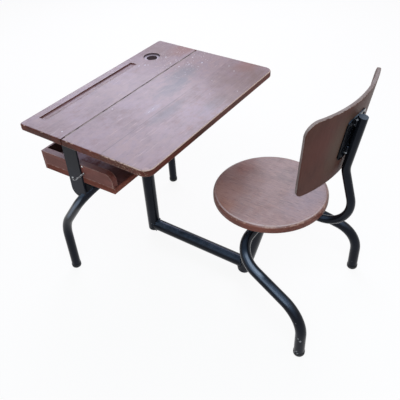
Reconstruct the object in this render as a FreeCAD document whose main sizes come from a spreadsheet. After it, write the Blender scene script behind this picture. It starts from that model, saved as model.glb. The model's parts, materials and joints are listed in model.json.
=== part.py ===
import FreeCAD, Part
import math
import os
import Sketcher
from FreeCAD import Placement, Rotation, Vector

# School desk with a lift lid and a joined seat, in millimetres.
# +X runs from the desk towards the seat, +Z is up, and the origin is on the floor under the middle.
# A setback is measured from the desk top's rear edge towards the seat.

sizes = {
    # Desk top: a fixed rear board, and a lid of two boards
    "top_width": 600.0,
    "top_depth": 426.0,
    "top_thick": 20.0,
    "top_height": 546.0,
    "rear_board_depth": 149.0,
    "middle_board_depth": 128.0,
    "front_corner_radius": 26.0,
    "rear_corner_radius": 9.0,
    "top_edge_radius": 3.5,
    "top_under_radius": 5.0,
    # Pen groove and inkwell hole in the rear board
    "groove_setback": 25.0,
    "groove_width": 25.0,
    "groove_floor": 3.0,
    "groove_depth": 4.0,
    "groove_length": 376.0,
    "groove_shift": 65.0,
    "groove_end_radius": 3.0,
    "inkwell_setback": 55.0,
    "inkwell_inset": 111.0,
    "inkwell_recess_diameter": 52.0,
    "inkwell_recess_depth": 5.0,
    "inkwell_hole_diameter": 33.0,
    # Continuous hinge between the rear board and the lid
    "hinge_gap": 4.5,
    "hinge_length": 570.0,
    "hinge_knuckle_diameter": 4.0,
    "hinge_axis_drop": 1.8,
    "hinge_leaf_thick": 0.9,
    "hinge_leaf_height": 16.0,
    "hinge_pin_diameter": 2.0,
    "pin_clearance": 0.05,
    "knuckle_gap": 0.3,
    # Steel angles under the top, and the flat brackets below them
    "rail_setback": 12.0,
    "rail_front_gap": 26.0,
    "rail_flange": 25.0,
    "rail_thick": 3.0,
    "rail_root_radius": 3.0,
    "rail_screw_setback": 42.0,
    "rail_screw_spacing": 74.0,
    "bracket_width": 50.0,
    "bracket_thick": 5.0,
    "bracket_lead": 11.3,
    "bracket_corner_radius": 26.0,
    "bracket_top_gap": 1.0,
    # Open book box, tilted up a little towards the pupil, with its rear corner behind the top's edge
    "box_inset": 50.0,
    "box_overhang": 7.0,
    "box_depth": 264.0,
    "box_low_height": 370.0,
    "box_tilt": 2.0,
    "box_board_thick": 18.0,
    "box_side_rise": 41.0,
    "box_rear_thick": 6.0,
    "box_front_lip": 5.0,
    "box_corner_radius": 24.0,
    "box_edge_radius": 4.0,
    "box_screw_spacing": 24.0,
    # Hook for a satchel on the left side of the box
    "hook_setback": 150.0,
    "hook_rise": 15.0,
    "hook_wire_diameter": 5.0,
    "hook_reach": 30.0,
    "hook_bend_radius": 9.0,
    "hook_tip_rise": 5.0,
    "hook_root_depth": 12.0,
    # Desk leg: one bent tube, with a bar across and two feet
    "desk_leg_diameter": 27.5,
    "tube_wall": 2.0,
    "leg_outset": 14.0,
    "desk_foot_setback": 30.0,
    "bar_box_gap": 13.25,
    "desk_knee_height": 182.0,
    "desk_bend_radius": 70.0,
    "desk_knee_radius": 130.0,
    # Posts and the spine between desk and seat
    "post_diameter": 40.0,
    "post_setback": 146.0,
    "desk_post_bottom": 21.0,
    "spine_diameter": 38.0,
    "spine_height": 36.0,
    "spine_length": 362.0,
    "seat_reach": 77.0,
    "seat_post_bottom": 10.0,
    # Seat leg: one bent tube through the seat post
    "seat_leg_diameter": 30.0,
    "seat_bar_height": 231.0,
    "seat_bar_span": 282.0,
    "seat_foot_span": 377.0,
    "seat_foot_setback": 787.0,
    "seat_knee_height": 145.0,
    "seat_bend_radius": 95.0,
    # Seat
    "seat_diameter": 311.0,
    "seat_thick": 22.0,
    "seat_height": 362.0,
    "seat_top_radius": 9.0,
    "seat_under_radius": 5.0,
    "seat_plate_diameter": 120.0,
    "seat_plate_thick": 4.0,
    "seat_screw_circle": 92.0,
    # Back tube, plate and bent backrest. The standoff runs from the seat's edge to the corner of the tube's
    # path, the twist turns plate and backrest about the tube, and the taper slants the backrest's sides.
    "back_tube_diameter": 22.0,
    "back_tube_standoff": 91.3,
    "back_tube_forward": 50.7,
    "back_knee_height": 502.0,
    "back_tube_top": 648.0,
    "back_lean": 9.1,
    "back_twist": -4.3,
    "back_bend_radius": 75.0,
    "back_knee_radius": 60.0,
    "back_cap_thick": 3.0,
    "back_plate_width": 86.0,
    "back_plate_height": 112.0,
    "back_plate_thick": 3.0,
    "back_plate_corner_radius": 14.0,
    "back_plate_mid_height": 596.0,
    "back_screw_inset": 12.0,
    "backrest_width": 337.5,
    "backrest_height": 212.0,
    "backrest_thick": 9.0,
    "backrest_radius": 429.0,
    "backrest_mid_height": 587.0,
    "backrest_taper": 6.8,
    "backrest_top_radius": 32.0,
    "backrest_under_radius": 20.0,
    "backrest_edge_radius": 2.0,
    # Plugs in the ends of the tubes
    "foot_flare": 1.0,
    "foot_height": 14.0,
    "foot_edge_radius": 7.0,
    "plug_stem_length": 16.0,
    "post_cap_thick": 4.0,
    # Round-headed wood screws
    "screw_diameter": 4.0,
    "screw_head_diameter": 8.0,
    "screw_head_height": 2.4,
    "rail_screw_bite": 13.0,
    "seat_screw_bite": 14.0,
    "back_screw_bite": 6.0,
    # Fits
    "weld_gap": 0.05,
    "screw_clearance": 0.05,
    "plug_clearance": 0.1,
    "cut_overrun": 20.0,
}

# Counts
hinge_knuckle_count = 19
seat_screw_count = 4

# Share of a full turn between the X axis and the first seat screw
seat_screw_turn_share = 0.125

# Least share of an edge that runs up where it counts as upright, and of a face's normal that points
# across where it counts as an end
upright_share = 0.99
end_face_share = 0.5

part_names = []

doc = FreeCAD.newDocument("school_desk")
sheet = doc.addObject("Spreadsheet::Sheet", "Sizes")
next_row = 1


# Add named numbers to the sheet
def add_cells(values):
    global next_row
    for alias, value in values.items():
        sheet.set(f"A{next_row}", alias)
        sheet.set(f"B{next_row}", repr(float(value)))
        sheet.setAlias(f"B{next_row}", alias)
        next_row += 1
    doc.recompute()


# Read a named number, where zero stands for itself
def size(alias):
    return float(sheet.get(alias)) if alias else 0.0


# Tie properties of an object to named numbers
def bind(item, links):
    for path, alias in links.items():
        item.setExpression(path, f"Sizes.{alias}")


def finish(item, label):
    item.Label = label
    part_names.append(item.Name)
    return item


# Edges and wire of a path with its corners rounded
def rounded_path(points, radii):
    edges = []
    start = points[0]
    for before, corner, after, radius in zip(points, points[1:], points[2:], radii):
        inward = (corner - before).normalize()
        outward = (after - corner).normalize()
        turn = inward.getAngle(outward)
        trim = radius * math.tan(turn / 2)
        first = corner - inward * trim
        last = corner + outward * trim
        centre = corner + (outward - inward).normalize() * (radius / math.cos(turn / 2))
        middle = centre + (corner - centre).normalize() * radius
        edges.append(Part.LineSegment(start, first).toShape())
        edges.append(Part.Arc(first, middle, last).toShape())
        start = last
    edges.append(Part.LineSegment(start, points[-1]).toShape())
    return Part.Wire(edges)


# Solid round bar along a path
def swept_bar(points, radii, bar_radius):
    path = rounded_path(points, radii)
    direction = (points[1] - points[0]).normalize()
    ring = Part.Wire(Part.makeCircle(bar_radius, points[0], direction))
    return path.makePipeShell([ring], True, False)


# Bent tube with open ends
def bent_tube(points, radii, diameter, wall):
    radius = diameter / 2
    tube = swept_bar(points, radii, radius)
    longer = list(points)
    longer[0] = points[0] + (points[0] - points[1]).normalize() * size("cut_overrun")
    longer[-1] = points[-1] + (points[-1] - points[-2]).normalize() * size("cut_overrun")
    return tube.cut(swept_bar(longer, radii, radius - wall))


def shape_object(name, shape):
    item = doc.addObject("Part::Feature", name)
    item.Shape = shape
    return item


# Start of a body and its sketches
def new_body(name):
    return doc.addObject("PartDesign::Body", name)


def origin_feature(body, role):
    return next(item for item in body.Origin.OriginFeatures if item.Role == role)


def new_sketch(body, name, role, offset=None):
    sketch = body.newObject("Sketcher::SketchObject", name)
    sketch.AttachmentSupport = (origin_feature(body, role), [""])
    sketch.MapMode = "FlatFace"
    if offset:
        bind(sketch, {"AttachmentOffset.Base.z": offset})
        doc.recompute()
    return sketch


# Hold a sketch point at named coordinates
def pin_point(sketch, geometry, point, across, along):
    for kind, alias, axis in (("DistanceX", across, -2), ("DistanceY", along, -1)):
        if alias:
            index = sketch.addConstraint(
                Sketcher.Constraint(kind, -1, 1, geometry, point, size(alias)))
            bind(sketch, {f"Constraints[{index}]": alias})
        else:
            sketch.addConstraint(Sketcher.Constraint("PointOnObject", geometry, point, axis))


# Closed outline through named corners. An arc is given by the number of the corner where it starts,
# its radius, and 1 or -1 for a centre on the left or right of the way from corner to corner.
def outline(sketch, corners, arcs=None):
    arcs = arcs or {}
    points = [Vector(size(across), size(along), 0) for across, along in corners]
    first_points = []
    last_points = []
    for index, start in enumerate(points):
        end = points[(index + 1) % len(points)]
        first, last = 1, 2
        if index in arcs:
            radius_name, side = arcs[index]
            radius = size(radius_name)
            chord = end - start
            left = Vector(-chord.y, chord.x, 0).normalize()
            depth = math.sqrt(max(radius ** 2 - (chord.Length / 2) ** 2, 0))
            centre = (start + end) * 0.5 + left * (side * depth)
            if side < 0:
                first, last = 2, 1
            begin, stop = (start, end) if side > 0 else (end, start)
            circle = Part.Circle(centre, Vector(0, 0, 1), radius)
            geometry = sketch.addGeometry(
                Part.ArcOfCircle(circle, circle.parameter(begin), circle.parameter(stop)))
        else:
            geometry = sketch.addGeometry(Part.LineSegment(start, end))
        first_points.append((geometry, first))
        last_points.append((geometry, last))
    for index in range(len(points)):
        following = first_points[(index + 1) % len(points)]
        sketch.addConstraint(Sketcher.Constraint("Coincident", *last_points[index], *following))
    for (geometry, first), (across, along) in zip(first_points, corners):
        pin_point(sketch, geometry, first, across, along)
    for index, (radius_name, side) in arcs.items():
        constraint = sketch.addConstraint(
            Sketcher.Constraint("Radius", first_points[index][0], size(radius_name)))
        bind(sketch, {f"Constraints[{constraint}]": radius_name})


def rectangle(sketch, left, right, low, high):
    outline(sketch, [(left, low), (right, low), (right, high), (left, high)])


def circle(sketch, diameter, across=None, along=None):
    place = Vector(size(across), size(along), 0)
    geometry = sketch.addGeometry(Part.Circle(place, Vector(0, 0, 1), size(diameter) / 2))
    index = sketch.addConstraint(Sketcher.Constraint("Diameter", geometry, size(diameter)))
    bind(sketch, {f"Constraints[{index}]": diameter})
    pin_point(sketch, geometry, 3, across, along)


def extrude(body, kind, sketch, length, symmetric=False, backwards=False):
    feature = body.newObject(f"PartDesign::{kind}", f"{sketch.Name}_{kind.lower()}")
    feature.Profile = sketch
    feature.SideType = "Symmetric" if symmetric else "One side"
    feature.Reversed = backwards
    bind(feature, {"Length": length})
    doc.recompute()
    return feature


def revolve(body, sketch):
    feature = body.newObject("PartDesign::Revolution", f"{sketch.Name}_revolution")
    feature.Profile = sketch
    feature.ReferenceAxis = (sketch, ["V_Axis"])
    feature.Angle = 360
    doc.recompute()
    return feature


# Round the edges of a feature that pass a test
def round_edges(body, feature, radius, test):
    edges = [f"Edge{number}" for number, edge in enumerate(feature.Shape.Edges, 1) if test(edge)]
    fillet = body.newObject("PartDesign::Fillet", f"{feature.Name}_round")
    fillet.Base = (feature, edges)
    bind(fillet, {"Radius": radius})
    doc.recompute()
    return fillet


# Tests for edges, all in the body's own axes
def upright(edge):
    along = edge.Vertexes[-1].Point - edge.Vertexes[0].Point
    return along.Length > 0 and abs(along.z) > upright_share * along.Length


def at_level(edge, level):
    return all(abs(vertex.Z - level) < size("weld_gap") for vertex in edge.Vertexes)


def move(item, across=None, along=None, up=None):
    names = {"x": across, "y": along, "z": up}
    bind(item, {f"Placement.Base.{axis}": alias for axis, alias in names.items() if alias})


# Cylinder from a point, its axis turned by an angle in degrees about a line
def cylinder(name, diameter, height, place, line=Vector(0, 0, 1), angle=0.0):
    item = doc.addObject("Part::Cylinder", name)
    item.setExpression("Radius", f"Sizes.{diameter} / 2")
    bind(item, {"Height": height})
    item.Placement = Placement(Vector(), Rotation(line, angle))
    move(item, *place)
    return item


def cut(label, base, tools):
    for number, tool in enumerate(tools, 1):
        item = doc.addObject("Part::Cut", f"{label}_cut{number}")
        item.Base = base
        item.Tool = tool
        base = item
    doc.recompute()
    return finish(base, label)


def mirrored(name, source):
    item = doc.addObject("Part::Mirroring", name)
    item.Source = source
    item.Normal = Vector(0, 1, 0)
    doc.recompute()
    return item


add_cells(sizes)

# Places worked out from the sizes, first as setbacks from the rear edge
back_radius = size("back_tube_diameter") / 2
seat_underside = size("seat_height") - size("seat_thick")
plate_underside = seat_underside - size("seat_plate_thick")
back_run_height = plate_underside - size("weld_gap") - back_radius
back_rise = size("back_knee_height") - back_run_height
back_turn = math.pi / 2 + math.atan(size("back_tube_forward") / back_rise)
back_trim = size("back_bend_radius") * math.tan(back_turn / 2)
box_tilt = math.radians(size("box_tilt"))
box_height = size("box_board_thick") + size("box_side_rise")
box_rear_reach = max(size("box_overhang") + box_height * math.sin(box_tilt), 0)
back_corner = (size("post_setback") + size("spine_length") + size("seat_reach") + size("seat_diameter") / 2
               + size("back_tube_standoff"))
back_reach = back_corner - back_trim + size("back_bend_radius") + back_radius
rear_x = (box_rear_reach - back_reach) / 2
back_lean = math.radians(size("back_lean"))
post_x = rear_x + size("post_setback")
spine_end_x = post_x + size("spine_length")
seat_x = spine_end_x + size("seat_reach")
seat_lean = math.atan2(size("seat_reach"), plate_underside - size("spine_height"))
seat_bar_x = spine_end_x + (size("seat_bar_height") - size("spine_height")) * math.tan(seat_lean)
seat_post_low_x = spine_end_x - (size("spine_height") - size("seat_post_bottom")) * math.tan(seat_lean)
box_width = size("top_width") - 2 * size("box_inset")
leg_y = box_width / 2 + size("leg_outset")
desk_bar_height = size("box_low_height") - size("bar_box_gap") - size("desk_leg_diameter") / 2
rail_length = size("top_depth") - size("rail_setback") - size("rail_front_gap")
top_underside = size("top_height") - size("top_thick")
seam_x = rear_x + size("rear_board_depth") + size("hinge_gap") / 2
hinge_axis_height = size("top_height") - size("hinge_axis_drop")
knuckle_pitch = size("hinge_length") / hinge_knuckle_count
front_board_depth = (size("top_depth") - size("rear_board_depth") - size("hinge_gap")
                     - size("middle_board_depth"))

# Where the desk leg's upper bend passes through the middle of the bracket's thickness
desk_rail = Vector(rear_x + size("desk_foot_setback") - post_x, 0,
                   size("desk_knee_height") - desk_bar_height).normalize()
bend_sine = 1 - (size("leg_outset") - size("bracket_thick") / 2) / size("desk_bend_radius")
bend_cosine = math.sqrt(1 - bend_sine ** 2)
bracket_foot = (Vector(post_x, 0, desk_bar_height)
                + desk_rail * (size("desk_bend_radius") * (1 - bend_cosine)))

add_cells({
    "post_x": post_x,
    "seat_x": seat_x,
    "top_underside": top_underside,
    "half_top_width": size("top_width") / 2,
    "half_top_width_far": -size("top_width") / 2,
    "half_rear_board": size("rear_board_depth") / 2,
    "half_rear_board_far": -size("rear_board_depth") / 2,
    "rear_board_x": rear_x + size("rear_board_depth") / 2,
    "half_middle_board": size("middle_board_depth") / 2,
    "half_middle_board_far": -size("middle_board_depth") / 2,
    "middle_board_x": seam_x + size("hinge_gap") / 2 + size("middle_board_depth") / 2,
    "half_front_board": front_board_depth / 2,
    "half_front_board_far": -front_board_depth / 2,
    "front_board_x": rear_x + size("top_depth") - front_board_depth / 2,
    "groove_wall_x": size("groove_setback") - size("rear_board_depth") / 2,
    "groove_floor_x": size("groove_setback") + size("groove_floor") - size("rear_board_depth") / 2,
    "groove_lip_x": size("groove_setback") + size("groove_width") - size("rear_board_depth") / 2,
    "groove_floor_level": size("top_thick") - size("groove_depth"),
    "groove_cove_radius": ((size("groove_width") - size("groove_floor")) ** 2
                           + size("groove_depth") ** 2) / (2 * size("groove_depth")),
    "above_top": size("top_thick") + size("cut_overrun"),
    "inkwell_x": size("inkwell_setback") - size("rear_board_depth") / 2,
    "inkwell_y": size("top_width") / 2 - size("inkwell_inset"),
    "seam_x": seam_x,
    "hinge_axis_height": hinge_axis_height,
    "half_hinge_far": -size("hinge_length") / 2,
    "hinge_bore_diameter": size("hinge_pin_diameter") + 2 * size("pin_clearance"),
    "half_gap": size("hinge_gap") / 2,
    "half_gap_far": -size("hinge_gap") / 2,
    "leaf_face": size("hinge_gap") / 2 - size("hinge_leaf_thick"),
    "leaf_face_far": size("hinge_leaf_thick") - size("hinge_gap") / 2,
    "leaf_low": -size("hinge_leaf_height"),
    "leaf_shoulder": -size("hinge_knuckle_diameter") / 2 - size("knuckle_gap"),
    "knuckle_length": knuckle_pitch - size("knuckle_gap"),
    "first_fixed_knuckle": size("hinge_length") / 2 - knuckle_pitch / 2,
    "first_lid_knuckle": size("hinge_length") / 2 - 3 * knuckle_pitch / 2,
    "fixed_knuckle_run": 2 * knuckle_pitch * (hinge_knuckle_count // 2),
    "lid_knuckle_run": 2 * knuckle_pitch * (hinge_knuckle_count // 2 - 1),
    "rail_length": rail_length,
    "rail_x": rear_x + size("rail_setback") + rail_length / 2,
    "rail_outer_y": -box_width / 2 - size("bracket_thick") - size("rail_thick"),
    "rail_inner_y": -box_width / 2 - size("bracket_thick"),
    "rail_edge_y": -box_width / 2 - size("bracket_thick") - size("rail_thick") + size("rail_flange"),
    "rail_flange_level": -size("rail_thick"),
    "rail_low_level": -size("rail_flange"),
    "bracket_x": bracket_foot.x - size("bracket_lead"),
    "half_bracket": size("bracket_width") / 2,
    "half_bracket_far": -size("bracket_width") / 2,
    "bracket_low": bracket_foot.z,
    "bracket_high": (top_underside - size("rail_thick") - size("rail_root_radius")
                     - size("bracket_top_gap")),
    "half_box_width": box_width / 2,
    "half_box_width_far": -box_width / 2,
    "box_height": box_height,
    "box_side_end": size("box_depth") - size("box_front_lip"),
    "desk_bar_height": desk_bar_height,
    "desk_post_height": desk_bar_height - size("desk_post_bottom"),
    "post_bore_diameter": size("post_diameter") - 2 * size("tube_wall"),
    "spine_bore_diameter": size("spine_diameter") - 2 * size("tube_wall"),
    "post_cutter_diameter": size("post_diameter") + 2 * size("weld_gap"),
    "post_cope_low": size("desk_post_bottom") - size("cut_overrun"),
    "desk_leg_cutter_diameter": size("desk_leg_diameter") + 2 * size("weld_gap"),
    "seat_leg_cutter_diameter": size("seat_leg_diameter") + 2 * size("weld_gap"),
    "leg_cutter_low": -size("post_diameter"),
    "leg_cutter_height": 2 * size("post_diameter"),
    "seat_lean_angle": math.degrees(seat_lean),
    "seat_post_low_x": seat_post_low_x,
    "seat_post_length": ((plate_underside - size("seat_post_bottom")) / math.cos(seat_lean)
                         + size("post_diameter")),
    "seat_bar_x": seat_bar_x,
    "plate_underside": plate_underside,
    "seat_underside": seat_underside,
    "half_seat_plate_far": -size("seat_plate_diameter") / 2,
    "seat_plate_low_x": seat_x - size("seat_plate_diameter") / 2,
    "seat_radius": size("seat_diameter") / 2,
    "seat_under_edge": size("seat_diameter") / 2 - size("seat_under_radius"),
    "seat_top_edge": size("seat_diameter") / 2 - size("seat_top_radius"),
    "seat_top_start": size("seat_thick") - size("seat_top_radius"),
})


# Flat board between named sides, standing on its own XY plane
def board(label, near, far, place_x):
    body = new_body(label)
    sketch = new_sketch(body, f"{label}_plan", "XY_Plane")
    rectangle(sketch, near, far, "half_top_width_far", "half_top_width")
    pad = extrude(body, "Pad", sketch, "top_thick")
    move(body, place_x, None, "top_underside")
    return body, pad


# Round a board's upper and lower edges that pass a test
def ease_outer_edges(body, feature, test):
    upper = round_edges(body, feature, "top_edge_radius",
                        lambda edge: at_level(edge, size("top_thick")) and test(edge))
    round_edges(body, upper, "top_under_radius", lambda edge: at_level(edge, 0) and test(edge))


# Drills for screws: one cylinder for each placement, along the placement's own Z axis
def drills(name, placements, diameter, depth):
    radius = diameter / 2 + size("screw_clearance")
    tool = Part.makeCylinder(radius, depth + size("cut_overrun"), Vector(0, 0, -size("cut_overrun")))
    return shape_object(name, Part.makeCompound([tool.transformed(spot.toMatrix()) for spot in placements]))


# Fixed rear board, with the pen groove and the stepped inkwell hole
def make_rear_board(spots):
    body, pad = board("rear_board_blank", "half_rear_board_far", "half_rear_board", "rear_board_x")
    rear = size("half_rear_board_far")
    corners = round_edges(body, pad, "rear_corner_radius", lambda edge: upright(edge)
                          and abs(edge.Vertexes[0].X - rear) < size("weld_gap"))
    seam = size("half_rear_board")
    ease_outer_edges(body, corners, lambda edge: not all(
        abs(v.X - seam) < size("weld_gap") for v in edge.Vertexes))
    groove = new_sketch(body, "pen_groove", "XZ_Plane", "groove_shift")
    outline(groove, [("groove_wall_x", "above_top"), ("groove_wall_x", "groove_floor_level"),
                     ("groove_floor_x", "groove_floor_level"), ("groove_lip_x", "top_thick"),
                     ("groove_lip_x", "above_top")], {2: ("groove_cove_radius", 1)})
    pocket = extrude(body, "Pocket", groove, "groove_length", symmetric=True)
    floor = size("groove_floor_level")
    ends = [side * size("groove_length") / 2 - size("groove_shift") for side in (-1, 1)]
    round_edges(body, pocket, "groove_end_radius", lambda edge: at_level(edge, floor)
                and any(all(abs(v.Y - end) < size("weld_gap") for v in edge.Vertexes) for end in ends))
    recess = new_sketch(body, "inkwell_recess", "XY_Plane", "top_thick")
    circle(recess, "inkwell_recess_diameter", "inkwell_x", "inkwell_y")
    extrude(body, "Pocket", recess, "inkwell_recess_depth")
    hole = new_sketch(body, "inkwell_hole", "XY_Plane", "top_thick")
    circle(hole, "inkwell_hole_diameter", "inkwell_x", "inkwell_y")
    extrude(body, "Pocket", hole, "top_thick")
    depth = size("rail_thick") + size("rail_screw_bite")
    cut("rear_board", body, [drills("rear_board_drills", spots, size("screw_diameter"), depth)])


# The lid's two boards
def make_lid_boards():
    body, pad = board("lid_middle_board", "half_middle_board_far", "half_middle_board", "middle_board_x")
    ease_outer_edges(body, pad, lambda edge:
                     abs(edge.Vertexes[0].Y - edge.Vertexes[-1].Y) < size("weld_gap"))
    finish(body, "lid_middle_board")
    body, pad = board("lid_front_board", "half_front_board_far", "half_front_board", "front_board_x")
    front = size("half_front_board")
    corners = round_edges(body, pad, "front_corner_radius", lambda edge: upright(edge)
                          and abs(edge.Vertexes[0].X - front) < size("weld_gap"))
    joint = size("half_front_board_far")
    ease_outer_edges(body, corners, lambda edge: not all(
        abs(v.X - joint) < size("weld_gap") for v in edge.Vertexes))
    finish(body, "lid_front_board")


# One leaf of the continuous hinge: a strip on the board's edge, and every second knuckle
def make_hinge_leaf(label, outer, inner, first_knuckle, run, count):
    body = new_body(label)
    near, far = (outer, inner) if size(outer) < size(inner) else (inner, outer)
    strip = new_sketch(body, f"{label}_strip", "XZ_Plane")
    rectangle(strip, near, far, "leaf_low", "leaf_shoulder")
    extrude(body, "Pad", strip, "hinge_length", symmetric=True)
    tongue = new_sketch(body, f"{label}_tongue", "XZ_Plane", first_knuckle)
    rectangle(tongue, near, far, "leaf_shoulder", None)
    tongue_pad = extrude(body, "Pad", tongue, "knuckle_length", symmetric=True)
    roll = new_sketch(body, f"{label}_roll", "XZ_Plane", first_knuckle)
    circle(roll, "hinge_knuckle_diameter")
    circle(roll, "hinge_bore_diameter")
    roll_pad = extrude(body, "Pad", roll, "knuckle_length", symmetric=True)
    pattern = body.newObject("PartDesign::LinearPattern", f"{label}_knuckles")
    pattern.Originals = [tongue_pad, roll_pad]
    pattern.Direction = (origin_feature(body, "Y_Axis"), [""])
    bind(pattern, {"Length": run})
    pattern.Occurrences = count
    body.Tip = pattern
    move(body, "seam_x", None, "hinge_axis_height")
    doc.recompute()
    finish(body, label)


def make_hinge():
    make_hinge_leaf("hinge_fixed_leaf", "half_gap_far", "leaf_face_far", "first_fixed_knuckle",
                    "fixed_knuckle_run", (hinge_knuckle_count + 1) // 2)
    make_hinge_leaf("hinge_lid_leaf", "half_gap", "leaf_face", "first_lid_knuckle",
                    "lid_knuckle_run", hinge_knuckle_count // 2)
    pin = cylinder("hinge_pin", "hinge_pin_diameter", "hinge_length",
                   ("seam_x", "half_hinge_far", "hinge_axis_height"), Vector(1, 0, 0), -90.0)
    doc.recompute()
    finish(pin, "hinge_pin")


# Steel angles under the top
def make_rails(left_spots, right_spots):
    body = new_body("rail_blank")
    section = new_sketch(body, "rail_section", "YZ_Plane")
    outline(section, [("rail_outer_y", "rail_low_level"), ("rail_inner_y", "rail_low_level"),
                      ("rail_inner_y", "rail_flange_level"), ("rail_edge_y", "rail_flange_level"),
                      ("rail_edge_y", None), ("rail_outer_y", None)])
    pad = extrude(body, "Pad", section, "rail_length", symmetric=True)
    root = Vector(0, size("rail_inner_y"), size("rail_flange_level"))
    round_edges(body, pad, "rail_root_radius", lambda edge: all(
        Vector(0, v.Y - root.y, v.Z - root.z).Length < size("weld_gap") for v in edge.Vertexes))
    move(body, "rail_x", None, "top_underside")
    doc.recompute()
    depth = size("rail_thick") + size("rail_screw_bite")
    cut("left_top_rail", body, [drills("left_rail_drills", left_spots, size("screw_diameter"), depth)])
    far = mirrored("rail_mirror", body)
    cut("right_top_rail", far, [drills("right_rail_drills", right_spots, size("screw_diameter"), depth)])


# Flat brackets from the angles down to the bent leg, notched over its bend
def make_brackets(leg_path, bends, left_spots, right_spots):
    body = new_body("bracket_blank")
    plate = new_sketch(body, "bracket_outline", "XZ_Plane", "half_box_width")
    rectangle(plate, "half_bracket_far", "half_bracket", "bracket_low", "bracket_high")
    pad = extrude(body, "Pad", plate, "bracket_thick")
    rear = size("half_bracket_far")
    low = size("bracket_low")
    round_edges(body, pad, "bracket_corner_radius", lambda edge: at_level(edge, low)
                and all(abs(v.X - rear) < size("weld_gap") for v in edge.Vertexes))
    move(body, "bracket_x")
    doc.recompute()
    notch = shape_object("bracket_notch", swept_bar(leg_path, bends, size("desk_leg_cutter_diameter") / 2))
    depth = size("box_board_thick") + size("bracket_thick")
    far = mirrored("bracket_mirror", body)
    for label, blank, spots in (("left_bracket", body, left_spots), ("right_bracket", far, right_spots)):
        cut(label, blank, [notch, drills(f"{label}_drills", spots, size("screw_diameter"), depth)])


# Book box: bottom, two sides with a rounded front corner, and a thin rear panel, all in the tilted frame
def make_box(box_frame, left_spots, right_spots, hook_spot):
    bottom = new_body("box_bottom_board")
    plan = new_sketch(bottom, "box_bottom_plan", "XY_Plane")
    rectangle(plan, "box_rear_thick", "box_depth", "half_box_width_far", "half_box_width")
    pad = extrude(bottom, "Pad", plan, "box_board_thick")
    front = size("box_depth")
    round_edges(bottom, pad, "box_edge_radius", lambda edge: not upright(edge)
                and all(abs(v.X - front) < size("weld_gap") for v in edge.Vertexes))
    bottom.Placement = box_frame
    finish(bottom, "box_bottom_board")
    side = new_body("box_side_blank")
    face = new_sketch(side, "box_side_outline", "XZ_Plane", "half_box_width")
    rectangle(face, "box_rear_thick", "box_side_end", "box_board_thick", "box_height")
    pad = extrude(side, "Pad", face, "box_board_thick", backwards=True)
    end = size("box_side_end")
    round_edges(side, pad, "box_corner_radius", lambda edge: at_level(edge, size("box_height"))
                and all(abs(v.X - end) < size("weld_gap") for v in edge.Vertexes))
    side.Placement = box_frame
    doc.recompute()
    depth = size("box_board_thick") + size("bracket_thick")
    hook_hole = drills("hook_drill", [hook_spot], size("hook_wire_diameter"), size("hook_root_depth"))
    cut("box_left_side", side,
        [drills("box_left_drills", left_spots, size("screw_diameter"), depth), hook_hole])
    far = mirrored("box_side_mirror", side)
    cut("box_right_side", far, [drills("box_right_drills", right_spots, size("screw_diameter"), depth)])
    panel = new_body("box_rear_panel")
    plan = new_sketch(panel, "box_rear_plan", "XY_Plane")
    rectangle(plan, None, "box_rear_thick", "half_box_width_far", "half_box_width")
    extrude(panel, "Pad", plan, "box_height")
    panel.Placement = box_frame
    finish(panel, "box_rear_panel")


# Wire hook that leaves the box side, bends up and ends in a round tip
def make_hook(hook_spot):
    root = hook_spot.Base
    reach = size("hook_reach") + size("hook_bend_radius")
    corner = root - Vector(0, reach, 0)
    tip = corner + Vector(0, 0, size("hook_bend_radius") + size("hook_tip_rise"))
    start = root + Vector(0, size("hook_root_depth"), 0)
    radius = size("hook_wire_diameter") / 2
    wire = swept_bar([start, corner, tip], [size("hook_bend_radius")], radius)
    hook = shape_object("satchel_hook", wire.fuse(Part.makeSphere(radius, tip)).removeSplitter())
    finish(hook, "satchel_hook")


# Bent leg tubes and the posts that they meet
def make_frame(desk_path, desk_bends, seat_path):
    seat_bends = [size("seat_bend_radius")] * (len(seat_path) - 2)
    for label, path, bends, diameter in (("desk_leg_tube", desk_path, desk_bends, "desk_leg_diameter"),
                                         ("seat_leg_tube", seat_path, seat_bends, "seat_leg_diameter")):
        finish(shape_object(label, bent_tube(path, bends, size(diameter), size("tube_wall"))), label)
    across = Vector(1, 0, 0)
    foot = ("post_x", None, "desk_post_bottom")
    post = cylinder("desk_post_outer", "post_diameter", "desk_post_height", foot)
    bore = cylinder("desk_post_bore", "post_bore_diameter", "desk_post_height", foot)
    saddle = cylinder("desk_post_saddle", "desk_leg_cutter_diameter", "leg_cutter_height",
                      ("post_x", "leg_cutter_low", "desk_bar_height"), across, -90.0)
    cut("desk_post", post, [bore, saddle])
    along = Vector(0, 1, 0)
    lean = size("seat_lean_angle")
    foot = ("seat_post_low_x", None, "seat_post_bottom")
    start = ("post_x", None, "spine_height")
    spine = cylinder("spine_outer", "spine_diameter", "spine_length", start, along, 90.0)
    bore = cylinder("spine_bore", "spine_bore_diameter", "spine_length", start, along, 90.0)
    rear_cope = cylinder("spine_rear_cope", "post_cutter_diameter", "desk_post_height",
                         ("post_x", None, "post_cope_low"))
    front_cope = cylinder("spine_front_cope", "post_cutter_diameter", "seat_post_length", foot, along, lean)
    cut("spine_tube", spine, [bore, rear_cope, front_cope])
    post = cylinder("seat_post_outer", "post_diameter", "seat_post_length", foot, along, lean)
    bore = cylinder("seat_post_bore", "post_bore_diameter", "seat_post_length", foot, along, lean)
    passage = cylinder("seat_post_passage", "seat_leg_cutter_diameter", "leg_cutter_height",
                       ("seat_bar_x", "leg_cutter_low", "seat_bar_height"), across, -90.0)
    above = doc.addObject("Part::Box", "seat_post_top")
    bind(above, {side: "seat_plate_diameter" for side in ("Length", "Width", "Height")})
    move(above, "seat_plate_low_x", "half_seat_plate_far", "plate_underside")
    cut("seat_post", post, [bore, passage, above])


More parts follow.
